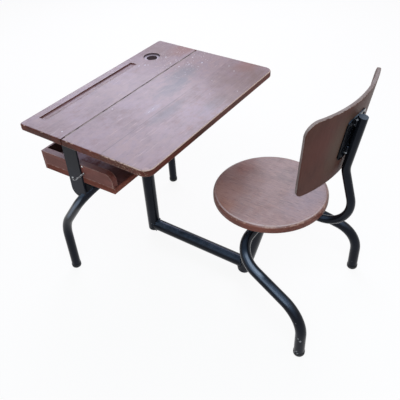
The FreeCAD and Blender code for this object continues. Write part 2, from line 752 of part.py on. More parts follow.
# Round seat on its steel plate
def make_seat(spots):
    plate = cylinder("seat_plate_blank", "seat_plate_diameter", "seat_plate_thick",
                     ("seat_x", None, "plate_underside"))
    depth = size("seat_plate_thick") + size("seat_screw_bite")
    cut("seat_plate", plate, [drills("seat_plate_drills", spots, size("screw_diameter"), depth)])
    disc = new_body("seat_blank")
    profile = new_sketch(disc, "seat_profile", "XZ_Plane")
    outline(profile, [(None, None), ("seat_under_edge", None), ("seat_radius", "seat_under_radius"),
                      ("seat_radius", "seat_top_start"), ("seat_top_edge", "seat_thick"),
                      (None, "seat_thick")],
            {1: ("seat_under_radius", 1), 3: ("seat_top_radius", 1)})
    revolve(disc, profile)
    move(disc, "seat_x", None, "seat_underside")
    doc.recompute()
    cut("seat_disc", disc, [drills("seat_drills", spots, size("screw_diameter"), depth)])


# Back tube, coped to the seat post, with a flat cap on its top end
def make_back_tube(path, seat_post_axis):
    radii = [size("back_bend_radius"), size("back_knee_radius")]
    tube = bent_tube(path, radii, size("back_tube_diameter"), size("tube_wall"))
    cope = Part.makeCylinder(size("post_cutter_diameter") / 2, size("seat_post_length"))
    tube = tube.cut(cope.transformed(seat_post_axis.toMatrix()))
    finish(shape_object("back_tube", tube), "back_tube")
    way = (path[-1] - path[-2]).normalize()
    cap = Part.makeCylinder(size("back_tube_diameter") / 2, size("back_cap_thick"), path[-1], way)
    finish(shape_object("back_tube_cap", cap), "back_tube_cap")


# Slant the two end faces of a panel about its middle level, so that it narrows downwards
def slant_ends(body, feature, angle):
    ends = [f"Face{number}" for number, face in enumerate(feature.Shape.Faces, 1)
            if isinstance(face.Surface, Part.Plane) and abs(face.normalAt(0, 0).y) > end_face_share]
    draft = body.newObject("PartDesign::Draft", f"{feature.Name}_draft")
    draft.Base = (feature, ends)
    draft.NeutralPlane = (origin_feature(body, "XY_Plane"), [""])
    draft.Reversed = True
    bind(draft, {"Angle": angle})
    doc.recompute()
    return draft


# Piece of a ring seen from above, with its outer face through its own origin or a step behind it
def curved_panel(name, width, height, outer, thick, frame, radius_cells, taper=None):
    half_turn = width / 2 / size("backrest_radius")
    centre = -size("backrest_radius")
    cells = {}
    for side, radius in (("back", outer), ("front", outer - thick)):
        cells[f"{name}_{side}_radius"] = radius
        cells[f"{name}_{side}_x"] = centre + radius * math.cos(half_turn)
        cells[f"{name}_{side}_y"] = radius * math.sin(half_turn)
        cells[f"{name}_{side}_y_far"] = -radius * math.sin(half_turn)
    add_cells(cells)
    body = new_body(name)
    plan = new_sketch(body, f"{name}_plan", "XY_Plane")
    outline(plan, [(f"{name}_back_x", f"{name}_back_y_far"), (f"{name}_back_x", f"{name}_back_y"),
                   (f"{name}_front_x", f"{name}_front_y"), (f"{name}_front_x", f"{name}_front_y_far")],
            {0: (f"{name}_back_radius", 1), 2: (f"{name}_front_radius", -1)})
    feature = extrude(body, "Pad", plan, height, symmetric=True)
    if taper:
        feature = slant_ends(body, feature, taper)
    half = size(height) / 2
    for level, radius in zip((half, -half), radius_cells):
        feature = round_edges(body, feature, radius, lambda edge: at_level(edge, level)
                              and edge.Length < 2 * thick)
    body.Placement = frame
    doc.recompute()
    return body, feature


# Bent backrest and the steel plate on its back
def make_backrest(rest_frame, plate_frame, spots):
    step = size("weld_gap") + size("back_plate_thick")
    depth = step + size("back_screw_bite")
    plate, feature = curved_panel("back_plate_blank", size("back_plate_width"), "back_plate_height",
                                  size("backrest_radius") + step, size("back_plate_thick"), plate_frame,
                                  ("back_plate_corner_radius", "back_plate_corner_radius"))
    cut("back_plate", plate, [drills("back_plate_drills", spots, size("screw_diameter"), depth)])
    rest, feature = curved_panel("backrest_blank", size("backrest_width"), "backrest_height",
                                 size("backrest_radius"), size("backrest_thick"), rest_frame,
                                 ("backrest_top_radius", "backrest_under_radius"), "backrest_taper")
    round_edges(rest, feature, "backrest_edge_radius",
                lambda edge: edge.Length > 2 * size("backrest_thick"))
    cut("backrest_panel", rest, [drills("backrest_drills", spots, size("screw_diameter"), depth)])


# Copies of solids of revolution, each at its own placement
def copies(label, groups):
    shapes = [body.Shape.transformed(spot.toMatrix()) for body, placements in groups for spot in placements]
    finish(shape_object(label, Part.makeCompound(shapes)), label)


# Plug in the end of a leg, with a rounded foot below it
def make_foot_plug(name, diameter):
    head = size(diameter) / 2 + size("foot_flare")
    add_cells({
        f"{name}_stem_radius": size(diameter) / 2 - size("tube_wall") - size("plug_clearance"),
        f"{name}_head_radius": head,
        f"{name}_base_radius": head - size("foot_edge_radius"),
    })
    plug = new_body(name)
    profile = new_sketch(plug, f"{name}_profile", "XZ_Plane")
    outline(profile, [(None, None), (f"{name}_base_radius", None),
                      (f"{name}_head_radius", "foot_edge_radius"), (f"{name}_head_radius", "foot_height"),
                      (f"{name}_stem_radius", "foot_height"),
                      (f"{name}_stem_radius", "foot_stem_top"), (None, "foot_stem_top")],
            {1: ("foot_edge_radius", 1)})
    revolve(plug, profile)
    return plug


# Plugs under the feet and caps under the posts
def make_plugs(desk_feet, seat_feet, posts):
    add_cells({
        "foot_stem_top": size("foot_height") + size("plug_stem_length"),
        "post_stem_radius": size("post_diameter") / 2 - size("tube_wall") - size("plug_clearance"),
        "post_head_radius": size("post_diameter") / 2,
        "post_cap_low": -size("post_cap_thick"),
        "post_cap_base": size("post_diameter") / 2 - size("post_cap_thick"),
    })
    copies("foot_plugs", [(make_foot_plug("desk_foot", "desk_leg_diameter"), desk_feet),
                          (make_foot_plug("seat_foot", "seat_leg_diameter"), seat_feet)])
    cap = new_body("post_cap")
    profile = new_sketch(cap, "post_cap_profile", "XZ_Plane")
    outline(profile, [(None, "post_cap_low"), ("post_cap_base", "post_cap_low"), ("post_head_radius", None),
                      ("post_stem_radius", None), ("post_stem_radius", "plug_stem_length"),
                      (None, "plug_stem_length")],
            {1: ("post_cap_thick", 1)})
    revolve(cap, profile)
    copies("post_end_caps", [(cap, posts)])


# Round-headed screws: the shank runs along +Z from the face that the head sits on
def make_screws(groups):
    head = size("screw_head_diameter") / 2
    rise = size("screw_head_height")
    add_cells({
        "screw_radius": size("screw_diameter") / 2,
        "screw_head_radius": head,
        "screw_head_top": -rise,
        "screw_dome_radius": (head ** 2 + rise ** 2) / (2 * rise),
    })
    for label, placements, length in groups:
        add_cells({f"{label}_length": length})
        screw = new_body(f"{label}_one")
        profile = new_sketch(screw, f"{label}_profile", "XZ_Plane")
        outline(profile, [(None, "screw_head_top"), ("screw_head_radius", None), ("screw_radius", None),
                          ("screw_radius", f"{label}_length"), (None, f"{label}_length")],
                {0: ("screw_dome_radius", 1)})
        revolve(screw, profile)
        copies(label, [(screw, placements)])


# Paths of the three bent tubes
foot_top = size("foot_height")
desk_foot_x = rear_x + size("desk_foot_setback")
seat_foot_x = rear_x + size("seat_foot_setback")
desk_path = [Vector(desk_foot_x, -leg_y, foot_top), Vector(desk_foot_x, -leg_y, size("desk_knee_height")),
             Vector(post_x, -leg_y, desk_bar_height), Vector(post_x, leg_y, desk_bar_height),
             Vector(desk_foot_x, leg_y, size("desk_knee_height")), Vector(desk_foot_x, leg_y, foot_top)]
desk_bends = [size("desk_knee_radius"), size("desk_bend_radius"),
              size("desk_bend_radius"), size("desk_knee_radius")]
seat_bar_y = size("seat_bar_span") / 2
seat_foot_y = size("seat_foot_span") / 2
seat_path = [Vector(seat_foot_x, -seat_foot_y, foot_top),
             Vector(seat_foot_x, -seat_foot_y, size("seat_knee_height")),
             Vector(seat_bar_x, -seat_bar_y, size("seat_bar_height")),
             Vector(seat_bar_x, seat_bar_y, size("seat_bar_height")),
             Vector(seat_foot_x, seat_foot_y, size("seat_knee_height")),
             Vector(seat_foot_x, seat_foot_y, foot_top)]
back_corner_x = rear_x + back_corner
lean_way = Vector(math.sin(back_lean), 0, math.cos(back_lean))
back_knee = Vector(back_corner_x - size("back_tube_forward"), 0, size("back_knee_height"))
back_path = [Vector(seat_x, 0, back_run_height), Vector(back_corner_x, 0, back_run_height),
             back_knee, back_knee + lean_way * ((size("back_tube_top") - back_knee.z) / lean_way.z)]

# The backrest's own frame: its back face through the origin, leaning with the tube and turned about it
rest_reach = back_radius + 2 * size("weld_gap") + size("back_plate_thick")
rest_step = Placement(Vector(-rest_reach, 0, 0), Rotation())
rest_turn = Rotation(Vector(0, 1, 0), size("back_lean")) * Rotation(Vector(0, 0, 1), size("back_twist"))


def rest_placement(height):
    on_axis = back_knee + lean_way * ((height - back_knee.z) / lean_way.z)
    return Placement(on_axis, rest_turn) * rest_step


rest_frame = rest_placement(size("backrest_mid_height"))
plate_frame = rest_placement(size("back_plate_mid_height"))

# The book box's own frame: the origin at its rear lower edge, tilted up towards the pupil
box_x = rear_x - size("box_overhang")
box_frame = Placement(Vector(box_x, 0, size("box_low_height")),
                      Rotation(Vector(0, 1, 0), -size("box_tilt")))


# Point of the book box, given along its depth, across the desk and up
def box_point(along, across, up):
    return box_frame.multVec(Vector(along, across, up))


# Screw places, each with its shank along the placement's own Z axis
upwards = Rotation()
rail_screw_y = (size("rail_inner_y") + size("rail_edge_y")) / 2
rail_screw_level = top_underside - size("rail_thick")
first_screw_x = rear_x + size("rail_screw_setback")
rail_screw_x = [first_screw_x, first_screw_x + size("rail_screw_spacing")]
left_rail_spots = [Placement(Vector(x, rail_screw_y, rail_screw_level), upwards) for x in rail_screw_x]
right_rail_spots = [Placement(Vector(x, -rail_screw_y, rail_screw_level), upwards) for x in rail_screw_x]
outwards_left = Rotation(Vector(0, 0, 1), Vector(0, -1, 0))
outwards_right = Rotation(Vector(0, 0, 1), Vector(0, 1, 0))
box_screw_y = box_width / 2 - size("box_board_thick")
box_screw_level = box_height - size("box_side_rise") / 2
box_screw_x = [size("bracket_x") - box_x + side * size("box_screw_spacing") / 2 for side in (-1, 1)]
left_box_spots = [Placement(box_point(x, -box_screw_y, box_screw_level), outwards_left)
                  for x in box_screw_x]
right_box_spots = [Placement(box_point(x, box_screw_y, box_screw_level), outwards_right)
                   for x in box_screw_x]
seat_spots = []
for number in range(seat_screw_count):
    turn = 2 * math.pi * (number / seat_screw_count + seat_screw_turn_share)
    reach = Vector(math.cos(turn), math.sin(turn), 0) * (size("seat_screw_circle") / 2)
    seat_spots.append(Placement(Vector(seat_x, 0, plate_underside) + reach, upwards))
forwards = Rotation(Vector(0, 0, 1), Vector(-1, 0, 0))
back_turn_reach = (size("back_plate_width") / 2 - size("back_screw_inset")) / size("backrest_radius")
back_screw_rise = size("back_plate_height") / 2 - size("back_screw_inset")
back_face = size("weld_gap") + size("back_plate_thick")
curve_centre = Vector(-size("backrest_radius"), 0, 0)
back_spots = []
for side in (-1, 1):
    turn = Rotation(Vector(0, 0, 1), math.degrees(side * back_turn_reach))
    swing = Placement(Vector(), turn, curve_centre)
    for rise in (-back_screw_rise, back_screw_rise):
        back_spots.append(plate_frame * swing * Placement(Vector(back_face, 0, rise), forwards))
hook_spot = Placement(box_point(size("box_overhang") + size("hook_setback"), -box_width / 2,
                                size("box_board_thick") + size("hook_rise")), outwards_right)

make_rear_board(left_rail_spots + right_rail_spots)
make_lid_boards()
make_hinge()
make_rails(left_rail_spots, right_rail_spots)
make_brackets(desk_path, desk_bends, left_box_spots, right_box_spots)
make_box(box_frame, left_box_spots, right_box_spots, hook_spot)
make_hook(hook_spot)
make_frame(desk_path, desk_bends, seat_path)
seat_post_axis = Placement(Vector(seat_post_low_x, 0, size("seat_post_bottom")),
                           Rotation(Vector(0, 1, 0), size("seat_lean_angle")))
make_seat(seat_spots)
make_back_tube(back_path, seat_post_axis)
make_backrest(rest_frame, plate_frame, back_spots)
desk_feet = [Placement(Vector(desk_foot_x, y, 0), upwards) for y in (-leg_y, leg_y)]
seat_feet = [Placement(Vector(seat_foot_x, y, 0), upwards) for y in (-seat_foot_y, seat_foot_y)]
desk_post_axis = Placement(Vector(post_x, 0, size("desk_post_bottom")), upwards)
make_plugs(desk_feet, seat_feet, [desk_post_axis, seat_post_axis])
make_screws([
    ("rail_screws", left_rail_spots + right_rail_spots, size("rail_thick") + size("rail_screw_bite")),
    ("box_screws", left_box_spots + right_box_spots, size("box_board_thick") + size("bracket_thick")),
    ("seat_screws", seat_spots, size("seat_plate_thick") + size("seat_screw_bite")),
    ("backrest_screws", back_spots, back_face + size("back_screw_bite")),
])

doc.recompute()
broken = [item.Label for item in doc.Objects if "Invalid" in item.State or "Error" in item.State]
parts = [doc.getObject(name) for name in part_names]
broken += [item.Label for item in parts if item.Shape.isNull() or not item.Shape.isValid()]
if broken:
    raise RuntimeError("not built: " + ", ".join(broken))
os.makedirs("parts", exist_ok=True)
for item in parts:
    item.Shape.exportStep(f"parts/{item.Label}.step")
    print(item.Label, len(item.Shape.Solids), round(item.Shape.Volume))
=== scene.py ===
import json
import math

import bmesh
import bpy
from mathutils import Matrix, Vector


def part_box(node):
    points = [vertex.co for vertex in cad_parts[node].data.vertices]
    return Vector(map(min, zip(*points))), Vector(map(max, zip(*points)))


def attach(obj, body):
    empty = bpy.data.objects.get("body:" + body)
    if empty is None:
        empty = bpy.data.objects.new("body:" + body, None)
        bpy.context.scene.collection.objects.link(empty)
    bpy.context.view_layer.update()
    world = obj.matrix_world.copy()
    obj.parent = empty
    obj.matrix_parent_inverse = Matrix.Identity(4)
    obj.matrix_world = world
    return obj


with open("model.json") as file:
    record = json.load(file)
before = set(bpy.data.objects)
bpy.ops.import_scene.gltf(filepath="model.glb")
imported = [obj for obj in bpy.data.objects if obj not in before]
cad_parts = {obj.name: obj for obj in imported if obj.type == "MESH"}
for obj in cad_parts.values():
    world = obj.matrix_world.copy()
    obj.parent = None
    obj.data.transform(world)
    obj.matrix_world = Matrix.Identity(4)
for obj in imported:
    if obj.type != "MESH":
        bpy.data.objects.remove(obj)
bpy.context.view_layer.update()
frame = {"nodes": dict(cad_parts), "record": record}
nodes = frame["nodes"]
print("frame loaded:", len(nodes), "nodes")

noiseMiddle = 0.5


# a shader socket that can stand in Python sums
class Value:
    def __init__(self, finish, socket):
        self.finish, self.socket = finish, socket

    def math(self, how, *values):
        return self.finish.node("Math", {"operation": how}, dict(enumerate(values)))

    def __add__(self, other): return self.math("ADD", self, other)
    def __radd__(self, other): return self.math("ADD", other, self)
    def __sub__(self, other): return self.math("SUBTRACT", self, other)
    def __rsub__(self, other): return self.math("SUBTRACT", other, self)
    def __mul__(self, other): return self.math("MULTIPLY", self, other)
    def __rmul__(self, other): return self.math("MULTIPLY", other, self)
    def __truediv__(self, other): return self.math("DIVIDE", self, other)
    def __gt__(self, other): return self.math("GREATER_THAN", self, other)
    def __abs__(self): return self.math("ABSOLUTE", self)
    def most(self, other): return self.math("MAXIMUM", self, other)
    def least(self, other): return self.math("MINIMUM", self, other)
    def root(self): return self.math("SQRT", self)
    def fraction(self): return self.math("FRACT", self)

    # a noise as a swing to both sides of zero
    def swing(self, reach): return (self - noiseMiddle) * reach


def blend(values, shares):
    return sum(value * share for value, share in zip(values, shares))


def between(value, low, high):
    return (value > low) * (1 - (value > high))


# a node tree with one way to add any node
class Finish:
    def __init__(self, name, tree=None):
        if tree is None:
            self.material = bpy.data.materials.new(name)
            self.material.use_nodes = True
            tree = self.material.node_tree
        self.tree = tree
        self.shader = tree.nodes.get("Principled BSDF")

    # a tuple of outputs gives a list of values
    def node(self, kind, settings=None, inputs=None, output=0):
        made = self.tree.nodes.new("ShaderNode" + kind)
        for key, value in (settings or {}).items():
            setattr(made, key, value)
        for key, value in (inputs or {}).items():
            self.feed(made.inputs[key], value)
        if isinstance(output, tuple):
            return [Value(self, made.outputs[key]) for key in output]
        return Value(self, made.outputs[output])

    def feed(self, socket, value):
        if isinstance(value, Value):
            self.tree.links.new(value.socket, socket)
        elif isinstance(value, (tuple, list)) and len(value) == 3 and len(socket.default_value) == 4:
            socket.default_value = (*value, 1)
        else:
            socket.default_value = value

    def set(self, **inputs):
        for key, value in inputs.items():
            self.feed(self.shader.inputs[key.replace("_", " ")], value)

    def place(self):
        return self.node("TexCoord", output="Object")

    def normal(self):
        return self.node("TexCoord", output="Normal")

    def dot(self, vector, way):
        return self.node("VectorMath", {"operation": "DOT_PRODUCT"}, {0: vector, 1: way}, "Value")

    def distance(self, vector, point):
        return self.node("VectorMath", {"operation": "DISTANCE"}, {0: vector, 1: point}, "Value")

    def split(self, vector):
        return self.node("SeparateXYZ", None, {0: vector}, (0, 1, 2))

    def join(self, x, y, z):
        return self.node("CombineXYZ", None, {0: x, 1: y, 2: z})

    def noise(self, vector, scale=1.0, detail=2.0, rough=0.5, twist=0.0):
        return self.node("TexNoise", None, {"Vector": vector, "Scale": scale, "Detail": detail,
                                            "Roughness": rough, "Distortion": twist})

    # 0 below the first limit and 1 above the second, soft between them
    def step(self, value, low, high):
        return self.node("MapRange", {"interpolation_type": "SMOOTHSTEP"},
                         {"Value": value, "From Min": low, "From Max": high})

    def mix(self, share, first, second):
        return self.node("Mix", {"data_type": "RGBA", "clamp_factor": True},
                         {0: share, 6: first, 7: second}, 2)

    def bump(self, height, depth):
        return self.node("Bump", None, {"Height": height, "Distance": depth, "Strength": 1.0})


def addObject(name, data):
    made = bpy.data.objects.new(name, data)
    bpy.context.scene.collection.objects.link(made)
    return made


# camera at the photo's angle, from a fit of the desk top, spine and seat
camera = {"place": (0.70608, -1.0329, 1.2789), "azimuth": 34.24, "elevation": 39.23, "roll": -2.23,
          "lens": 49.14, "sensor": 36.0, "shift": (-0.0415, -0.0075), "clip": (0.01, 100.0)}


def makeCamera(spec):
    azimuth, elevation, roll = (math.radians(spec[key]) for key in ("azimuth", "elevation", "roll"))
    back = Vector((math.sin(azimuth) * math.cos(elevation), -math.cos(azimuth) * math.cos(elevation),
                   math.sin(elevation)))
    level = Vector((math.cos(azimuth), math.sin(azimuth), 0))
    right = level * math.cos(roll) + back.cross(level) * math.sin(roll)
    data = bpy.data.cameras.new("camera")
    data.lens, data.sensor_width = spec["lens"], spec["sensor"]
    data.shift_x, data.shift_y = spec["shift"]
    data.clip_start, data.clip_end = spec["clip"]
    made = addObject("camera", data)
    turn = Matrix((right, back.cross(right), back)).transposed()
    made.matrix_world = Matrix.Translation(spec["place"]) @ turn.to_4x4()
    bpy.context.scene.camera = made


makeCamera(camera)
print("camera made")

# soft light: a pale sky all round, and wide panels that the top, the seat and the tubes mirror
# each panel has its place, aim, size, power and colour
light = {"sky": (0.98, 0.99, 1.0), "skyLevel": 0.28,
         "floor": (0.95, 0.95, 0.95), "floorSize": 30.0, "glow": (1.0, 1.0, 1.0), "glowShare": 0.9,
         "panels": {
             "deskPanel": ((-1.92, 1.46, 1.87), (-0.2, 0.0, 0.546), 1.5, 25.0, (0.77, 0.78, 1.0)),
             "seatPanel": ((-0.85, 1.95, 2.2), (0.15, 0.0, 0.36), 1.7, 30.0, (0.86, 0.84, 1.0)),
             "nearPanel": ((0.85, -1.20, 2.20), (0.1, -0.1, 0.2), 1.4, 34.0, (0.76, 0.88, 1.0)),
             "rightPanel": ((1.9, 0.6, 1.6), (0.1, 0.0, 0.4), 1.4, 5.0, (1.0, 0.97, 0.94)),
         }}


def seenDirectly(finish):
    rays = finish.node("LightPath", output=("Is Camera Ray", "Is Glossy Ray", "Is Transmission Ray"))
    return rays[0].most(rays[1].most(rays[2]))


def makePanel(name, place, aim, size, power, colour):
    data = bpy.data.lights.new(name, "AREA")
    data.shape, data.size, data.energy, data.color = "SQUARE", size, power, colour
    made = addObject(name, data)
    made.location = place
    made.rotation_euler = (Vector(aim) - Vector(place)).to_track_quat("-Z", "Y").to_euler()
    made.visible_camera = False


def makeStage(spec):
    world = bpy.data.worlds.new("sky")
    world.use_nodes = True
    bpy.context.scene.world = world
    sky = Finish("sky", world.node_tree)
    ground = world.node_tree.nodes["Background"]
    sky.feed(ground.inputs["Color"], spec["sky"])
    sky.feed(ground.inputs["Strength"], spec["skyLevel"] + seenDirectly(sky) * (1 - spec["skyLevel"]))
    mesh = bmesh.new()
    bmesh.ops.create_grid(mesh, x_segments=1, y_segments=1, size=spec["floorSize"])
    data = bpy.data.meshes.new("floor")
    mesh.to_mesh(data)
    mesh.free()
    floor = addObject("floor", data)
    finish = Finish("floorPaper")
    finish.set(Base_Color=spec["floor"], Roughness=1.0, Specular_IOR_Level=0.0)
    glow = finish.node("Emission", None, {"Color": spec["glow"], "Strength": 1.0})
    both = finish.node("MixShader", None, {0: seenDirectly(finish) * spec["glowShare"],
                                           1: Value(finish, finish.shader.outputs[0]), 2: glow})
    finish.feed(finish.tree.nodes["Material Output"].inputs["Surface"], both)
    data.materials.append(finish.material)
    for name, panel in spec["panels"].items():
        makePanel(name, *panel)


makeStage(light)
bpy.context.scene.view_settings.view_transform = "Standard"
print("stage made")


# stained wood: its colour is laid on in layers, and its noises are kept for all of them
class Wood:
    def __init__(self, spec):
        self.spec, self.finish = spec, Finish(spec["name"])
        self.place, self.normal = self.finish.place(), self.finish.normal()
        self.x, self.y, self.z = self.finish.split(self.place)
        self.ahead, self.beside, self.lift = self.finish.split(self.normal)
        self.top = self.finish.step(self.lift, *spec["topFrom"])
        self.u, self.v = self.x, self.y
        if "seams" in spec:
            board = sum(self.x > seam for seam in spec["seams"])
            shiftX, shiftY = spec["boardShift"]
            self.u, self.v = self.x + board * shiftX, self.y + board * shiftY
        self.makeNoises()
        self.colour = self.finish.mix(self.tone, spec["dark"], spec["pale"])
        self.dull = None

    def stretch(self, rates):
        return self.finish.join(self.u * rates[0], self.v * rates[1], self.z * rates[2])

    def makeNoises(self):
        spec, finish, u, v, z = self.spec, self.finish, self.u, self.v, self.z
        lengthwise = [axis == spec["grain"] for axis in "xyz"]
        grain = self.stretch([spec["along"] if way else spec["across"] for way in lengthwise])
        dashes = self.stretch([spec["along"] * spec["dashRate"] if way else spec["across"] * spec["dashFine"]
                               for way in lengthwise])
        beyond = finish.join(u + spec["driftShift"], v, z)
        drawn = finish.join(u * spec["mottleStretch"] + spec["mottleShift"], v, z)
        self.cloud = finish.noise(finish.join(u, v, z), spec["blotch"], detail=5.0, rough=0.65)
        self.drift = finish.noise(beyond, spec["blotch"] * spec["driftRate"], detail=3.0, rough=0.55)
        self.mottle = finish.noise(drawn, spec["blotch"] * spec["mottleRate"], detail=5.0, rough=0.68)
        self.fibre = finish.noise(grain, detail=4.0, rough=0.6, twist=0.3)
        self.dash = finish.noise(dashes)
        self.pore = finish.step(self.dash, spec["poreFrom"], spec["poreFrom"] + spec["poreSoft"])
        self.worn = finish.noise(self.place, spec["rubScale"], detail=4.0, rough=0.7)
        figure = finish.noise(grain, spec["figureRate"], twist=0.6)
        shares = (spec["fibreShare"], spec["figure"], 1 - spec["fibreShare"] - spec["figure"])
        self.tone = finish.step(blend((self.fibre, figure, self.cloud), shares), *spec["toneFrom"])

    def lay(self, share, colour):
        self.colour = self.finish.mix(share, self.colour, colour)

    # below 1 inside an oval on the level
    def oval(self, x, y, reachX, reachY):
        across, along = (self.x - x) / reachX, (self.y - y) / reachY
        return across * across + along * along

    def addClouds(self):
        spec, finish = self.spec, self.finish
        self.lay(finish.step(self.cloud, *spec["warmFrom"]) * spec["warmShare"], spec["warm"])
        self.lay(finish.step(self.drift, *spec["coolFrom"]) * spec["coolShare"], spec["cool"])
        for centre, reach, share, tint in spec.get("tints", ()):
            far = finish.distance(self.place, centre) / reach + self.cloud.swing(spec["tintSwing"])
            self.lay((1 - finish.step(far, *spec["tintEdge"])) * share, tint)

    # a painted sky sheen, lavender and rosy, and fine scratches on what faces up
    def addPaintedSheen(self):
        spec, finish = self.spec, self.finish
        sheenMask = blend((self.cloud, self.drift, self.mottle), spec["sheenShares"])
        sheenMask = finish.step(sheenMask, *spec["sheenFrom"])
        rosySheen = finish.step(blend((self.drift, self.mottle), spec["rosySheenShares"]), *spec["rosySheenFrom"])
        if "paintedSheenFade" in spec:
            sheenMask = sheenMask * (1 - finish.step(self.x, *spec["paintedSheenFade"]) * spec["paintedSheenLost"])
        self.lay(self.top * sheenMask * spec["paintedSheenShare"], finish.mix(rosySheen, spec["paintedSheen"], spec["paintedSheenRose"]))
        rateU, rateV, slant = spec["scratchRates"]
        scratch = finish.noise(finish.join(self.u * rateU, self.v * rateV + self.u * slant, self.z))
        scratch = finish.step(scratch, *spec["scratchFrom"])
        self.lay(self.top * scratch * spec["scratchShare"], spec["rubColour"])

    # stains also dull the varnish
    def addStains(self):
        spec = self.spec
        for *oval, share, stain in spec.get("stains", ()):
            spread = self.oval(*oval) + self.cloud.swing(spec["stainCloud"])
            spread = spread + self.fibre.swing(spec["stainFibre"])
            soaked = (1 - self.finish.step(spread, *spec["stainEdge"])) * share
            self.lay(soaked * self.top, stain)
            self.dull = soaked if self.dull is None else self.dull.most(soaked)

    def addSides(self):
        spec, finish = self.spec, self.finish
        self.wall = (1 - finish.step(self.lift, *spec["wallFrom"])) * spec["wallShare"]
        if "softBox" in spec:
            soft = spec["softBox"]
            inside = between(self.x, *soft["x"]) * between(self.y, *soft["y"])
            self.wall = self.wall * (1 - inside * soft["share"])
        self.lay(self.wall, finish.mix(self.tone, spec["sideDark"], spec["sidePale"]))

    def addWell(self, well):
        within = (1 - (self.oval(*well["place"], well["reach"], well["reach"]) > 1)) * well["share"]
        self.lay(self.wall * within, well["walls"])
        # the recess floor gets a pale painted sky sheen, though it lies in shade
        self.lay(self.top * within * (1 - (self.z > well["floorBelow"])), well["floor"])

    # painted shade inside the box, darkening its rear panel and its floor where the painted sky sheen fades
    def addInsideShade(self, grimeAndShade):
        rear = self.finish.step(self.ahead, *grimeAndShade["rearFrom"]) * (1 - (self.x > grimeAndShade["rearBehind"]))
        self.lay(rear * grimeAndShade["rearShare"], grimeAndShade["rear"])
        floor = self.finish.step(self.x, *self.spec["paintedSheenFade"]) * (1 - (self.z > grimeAndShade["floorBelow"]))
        self.lay(self.top * floor * grimeAndShade["floorShare"], grimeAndShade["floor"])

    # a pale painted highlight on the seat's rounded rim, on the side that faces the near corner
    def addRimHighlight(self, rimHighlight):
        rim = self.finish.step(self.lift, *rimHighlight["from"]) * (1 - self.finish.step(self.lift, *rimHighlight["to"]))
        towards = (self.x - rimHighlight["centreX"]) * rimHighlight["way"][0] + self.y * rimHighlight["way"][1]
        uneven = self.fibre * rimHighlight["fibre"] + rimHighlight["least"]
        self.lay(rim * self.finish.step(towards, *rimHighlight["side"]) * uneven * rimHighlight["share"], rimHighlight["colour"])

    def addPores(self):
        spec = self.spec
        self.lay(self.pore * spec["poreShare"], spec["poreColour"])
        if "fleckShare" in spec:
            fleck = 1 - self.finish.step(self.dash, *spec["fleckTo"])
            self.lay(fleck * self.top * spec["fleckShare"], spec["rubColour"])

    # rubbed edges, more where wornEdges says so
    def addRub(self):
        spec, finish = self.spec, self.finish
        edge = finish.step(self.lift, *spec["edgeFrom"]) * (1 - finish.step(self.lift, *spec["edgeTo"]))
        wear = self.worn + self.drift.swing(spec["rubSwing"])
        for rangeX, rangeY, more in spec.get("wornEdges", ()):
            wear = wear + finish.step(self.x, *rangeX) * finish.step(self.y, *rangeY) * more
        bare = finish.step(wear, spec["rubLimit"], spec["rubLimit"] + spec["rubSoft"])
        self.rub = edge * bare * spec["rubShare"]
        self.lay(self.rub, spec["rubColour"])

    # torn fibres on the near end
    def addFray(self, fray):
        finish = self.finish
        torn = finish.noise(finish.join(self.x * fray["stretch"], self.y, self.z), fray["scale"], rough=0.6)
        nearEnd = (1 - finish.step(self.beside, *fray["facing"])) * finish.step(self.x, *fray["x"])
        self.lay(nearEnd * finish.step(torn, *fray["from"]) * fray["share"], fray["colour"])

    # a broken pale line along sharp edges
    def addArris(self, arris):
        spec, finish = self.spec, self.finish
        radius, share = arris
        bent = finish.node("Bevel", {"samples": spec["arrisSamples"]}, {"Radius": radius})
        bend = 1 - finish.dot(bent, finish.node("NewGeometry", output="True Normal"))
        line = finish.step(bend, *spec["arrisBend"]) * finish.step(self.worn, *spec["arrisFrom"])
        self.lay(line * share, spec["rubColour"])

    # plywood layers on the edges of a bent panel
    def addPly(self, ply):
        finish = self.finish
        off = finish.node("VectorMath", {"operation": "SUBTRACT"}, {0: self.place, 1: ply["centre"]})
        out, sideways = finish.dot(off, ply["out"]), finish.dot(off, ply["round"])
        reach = (out * out + sideways * sideways).root()
        turned = finish.dot(self.normal, ply["out"]) * out + finish.dot(self.normal, ply["round"]) * sideways
        layer = ((reach + self.fibre.swing(ply["swing"]) - ply["inner"]) / ply["pitch"]).fraction()
        veneer = finish.mix(finish.step(abs(layer - ply["half"]), *ply["lineFrom"]), ply["pale"], ply["line"])
        stained = finish.step(self.mottle, *ply["stainFrom"]) * ply["stainShare"]
        veneer = finish.mix(stained, veneer, self.spec["pale"])
        self.lay((1 - finish.step(abs(turned / reach), *ply["facing"])) * ply["share"], veneer)

    # a fine line where two boards are glued
    def addGlueLine(self, glue):
        finish = self.finish
        gap = abs(self.x - glue["x"] + self.fibre.swing(glue["swing"]))
        line = 1 - finish.step(gap, glue["width"] * glue["core"], glue["width"])
        self.lay(line * (1 - finish.step(self.y, *glue["fade"])) * glue["share"], self.spec["poreColour"])

    # single paint specks, and crumbs along the far part of the seam
    def addSpecks(self, specks):
        finish, crumbs, near = self.finish, specks["crumbs"], None
        for oval in specks["ovals"]:
            far = self.oval(*oval)
            near = far if near is None else near.least(far)
        speck = 1 - finish.step(near + self.worn.swing(specks["swing"]), *specks["edge"])
        crumb = finish.step(finish.noise(self.place, crumbs["scale"], detail=1.0), *crumbs["from"])
        crumb = crumb * finish.step(self.y, *crumbs["y"])
        crumb = crumb * (1 - finish.step(abs(self.x - crumbs["x"]), *crumbs["reach"]))
        self.lay(speck.most(crumb * crumbs["share"]) * self.top * specks["share"], specks["colour"])

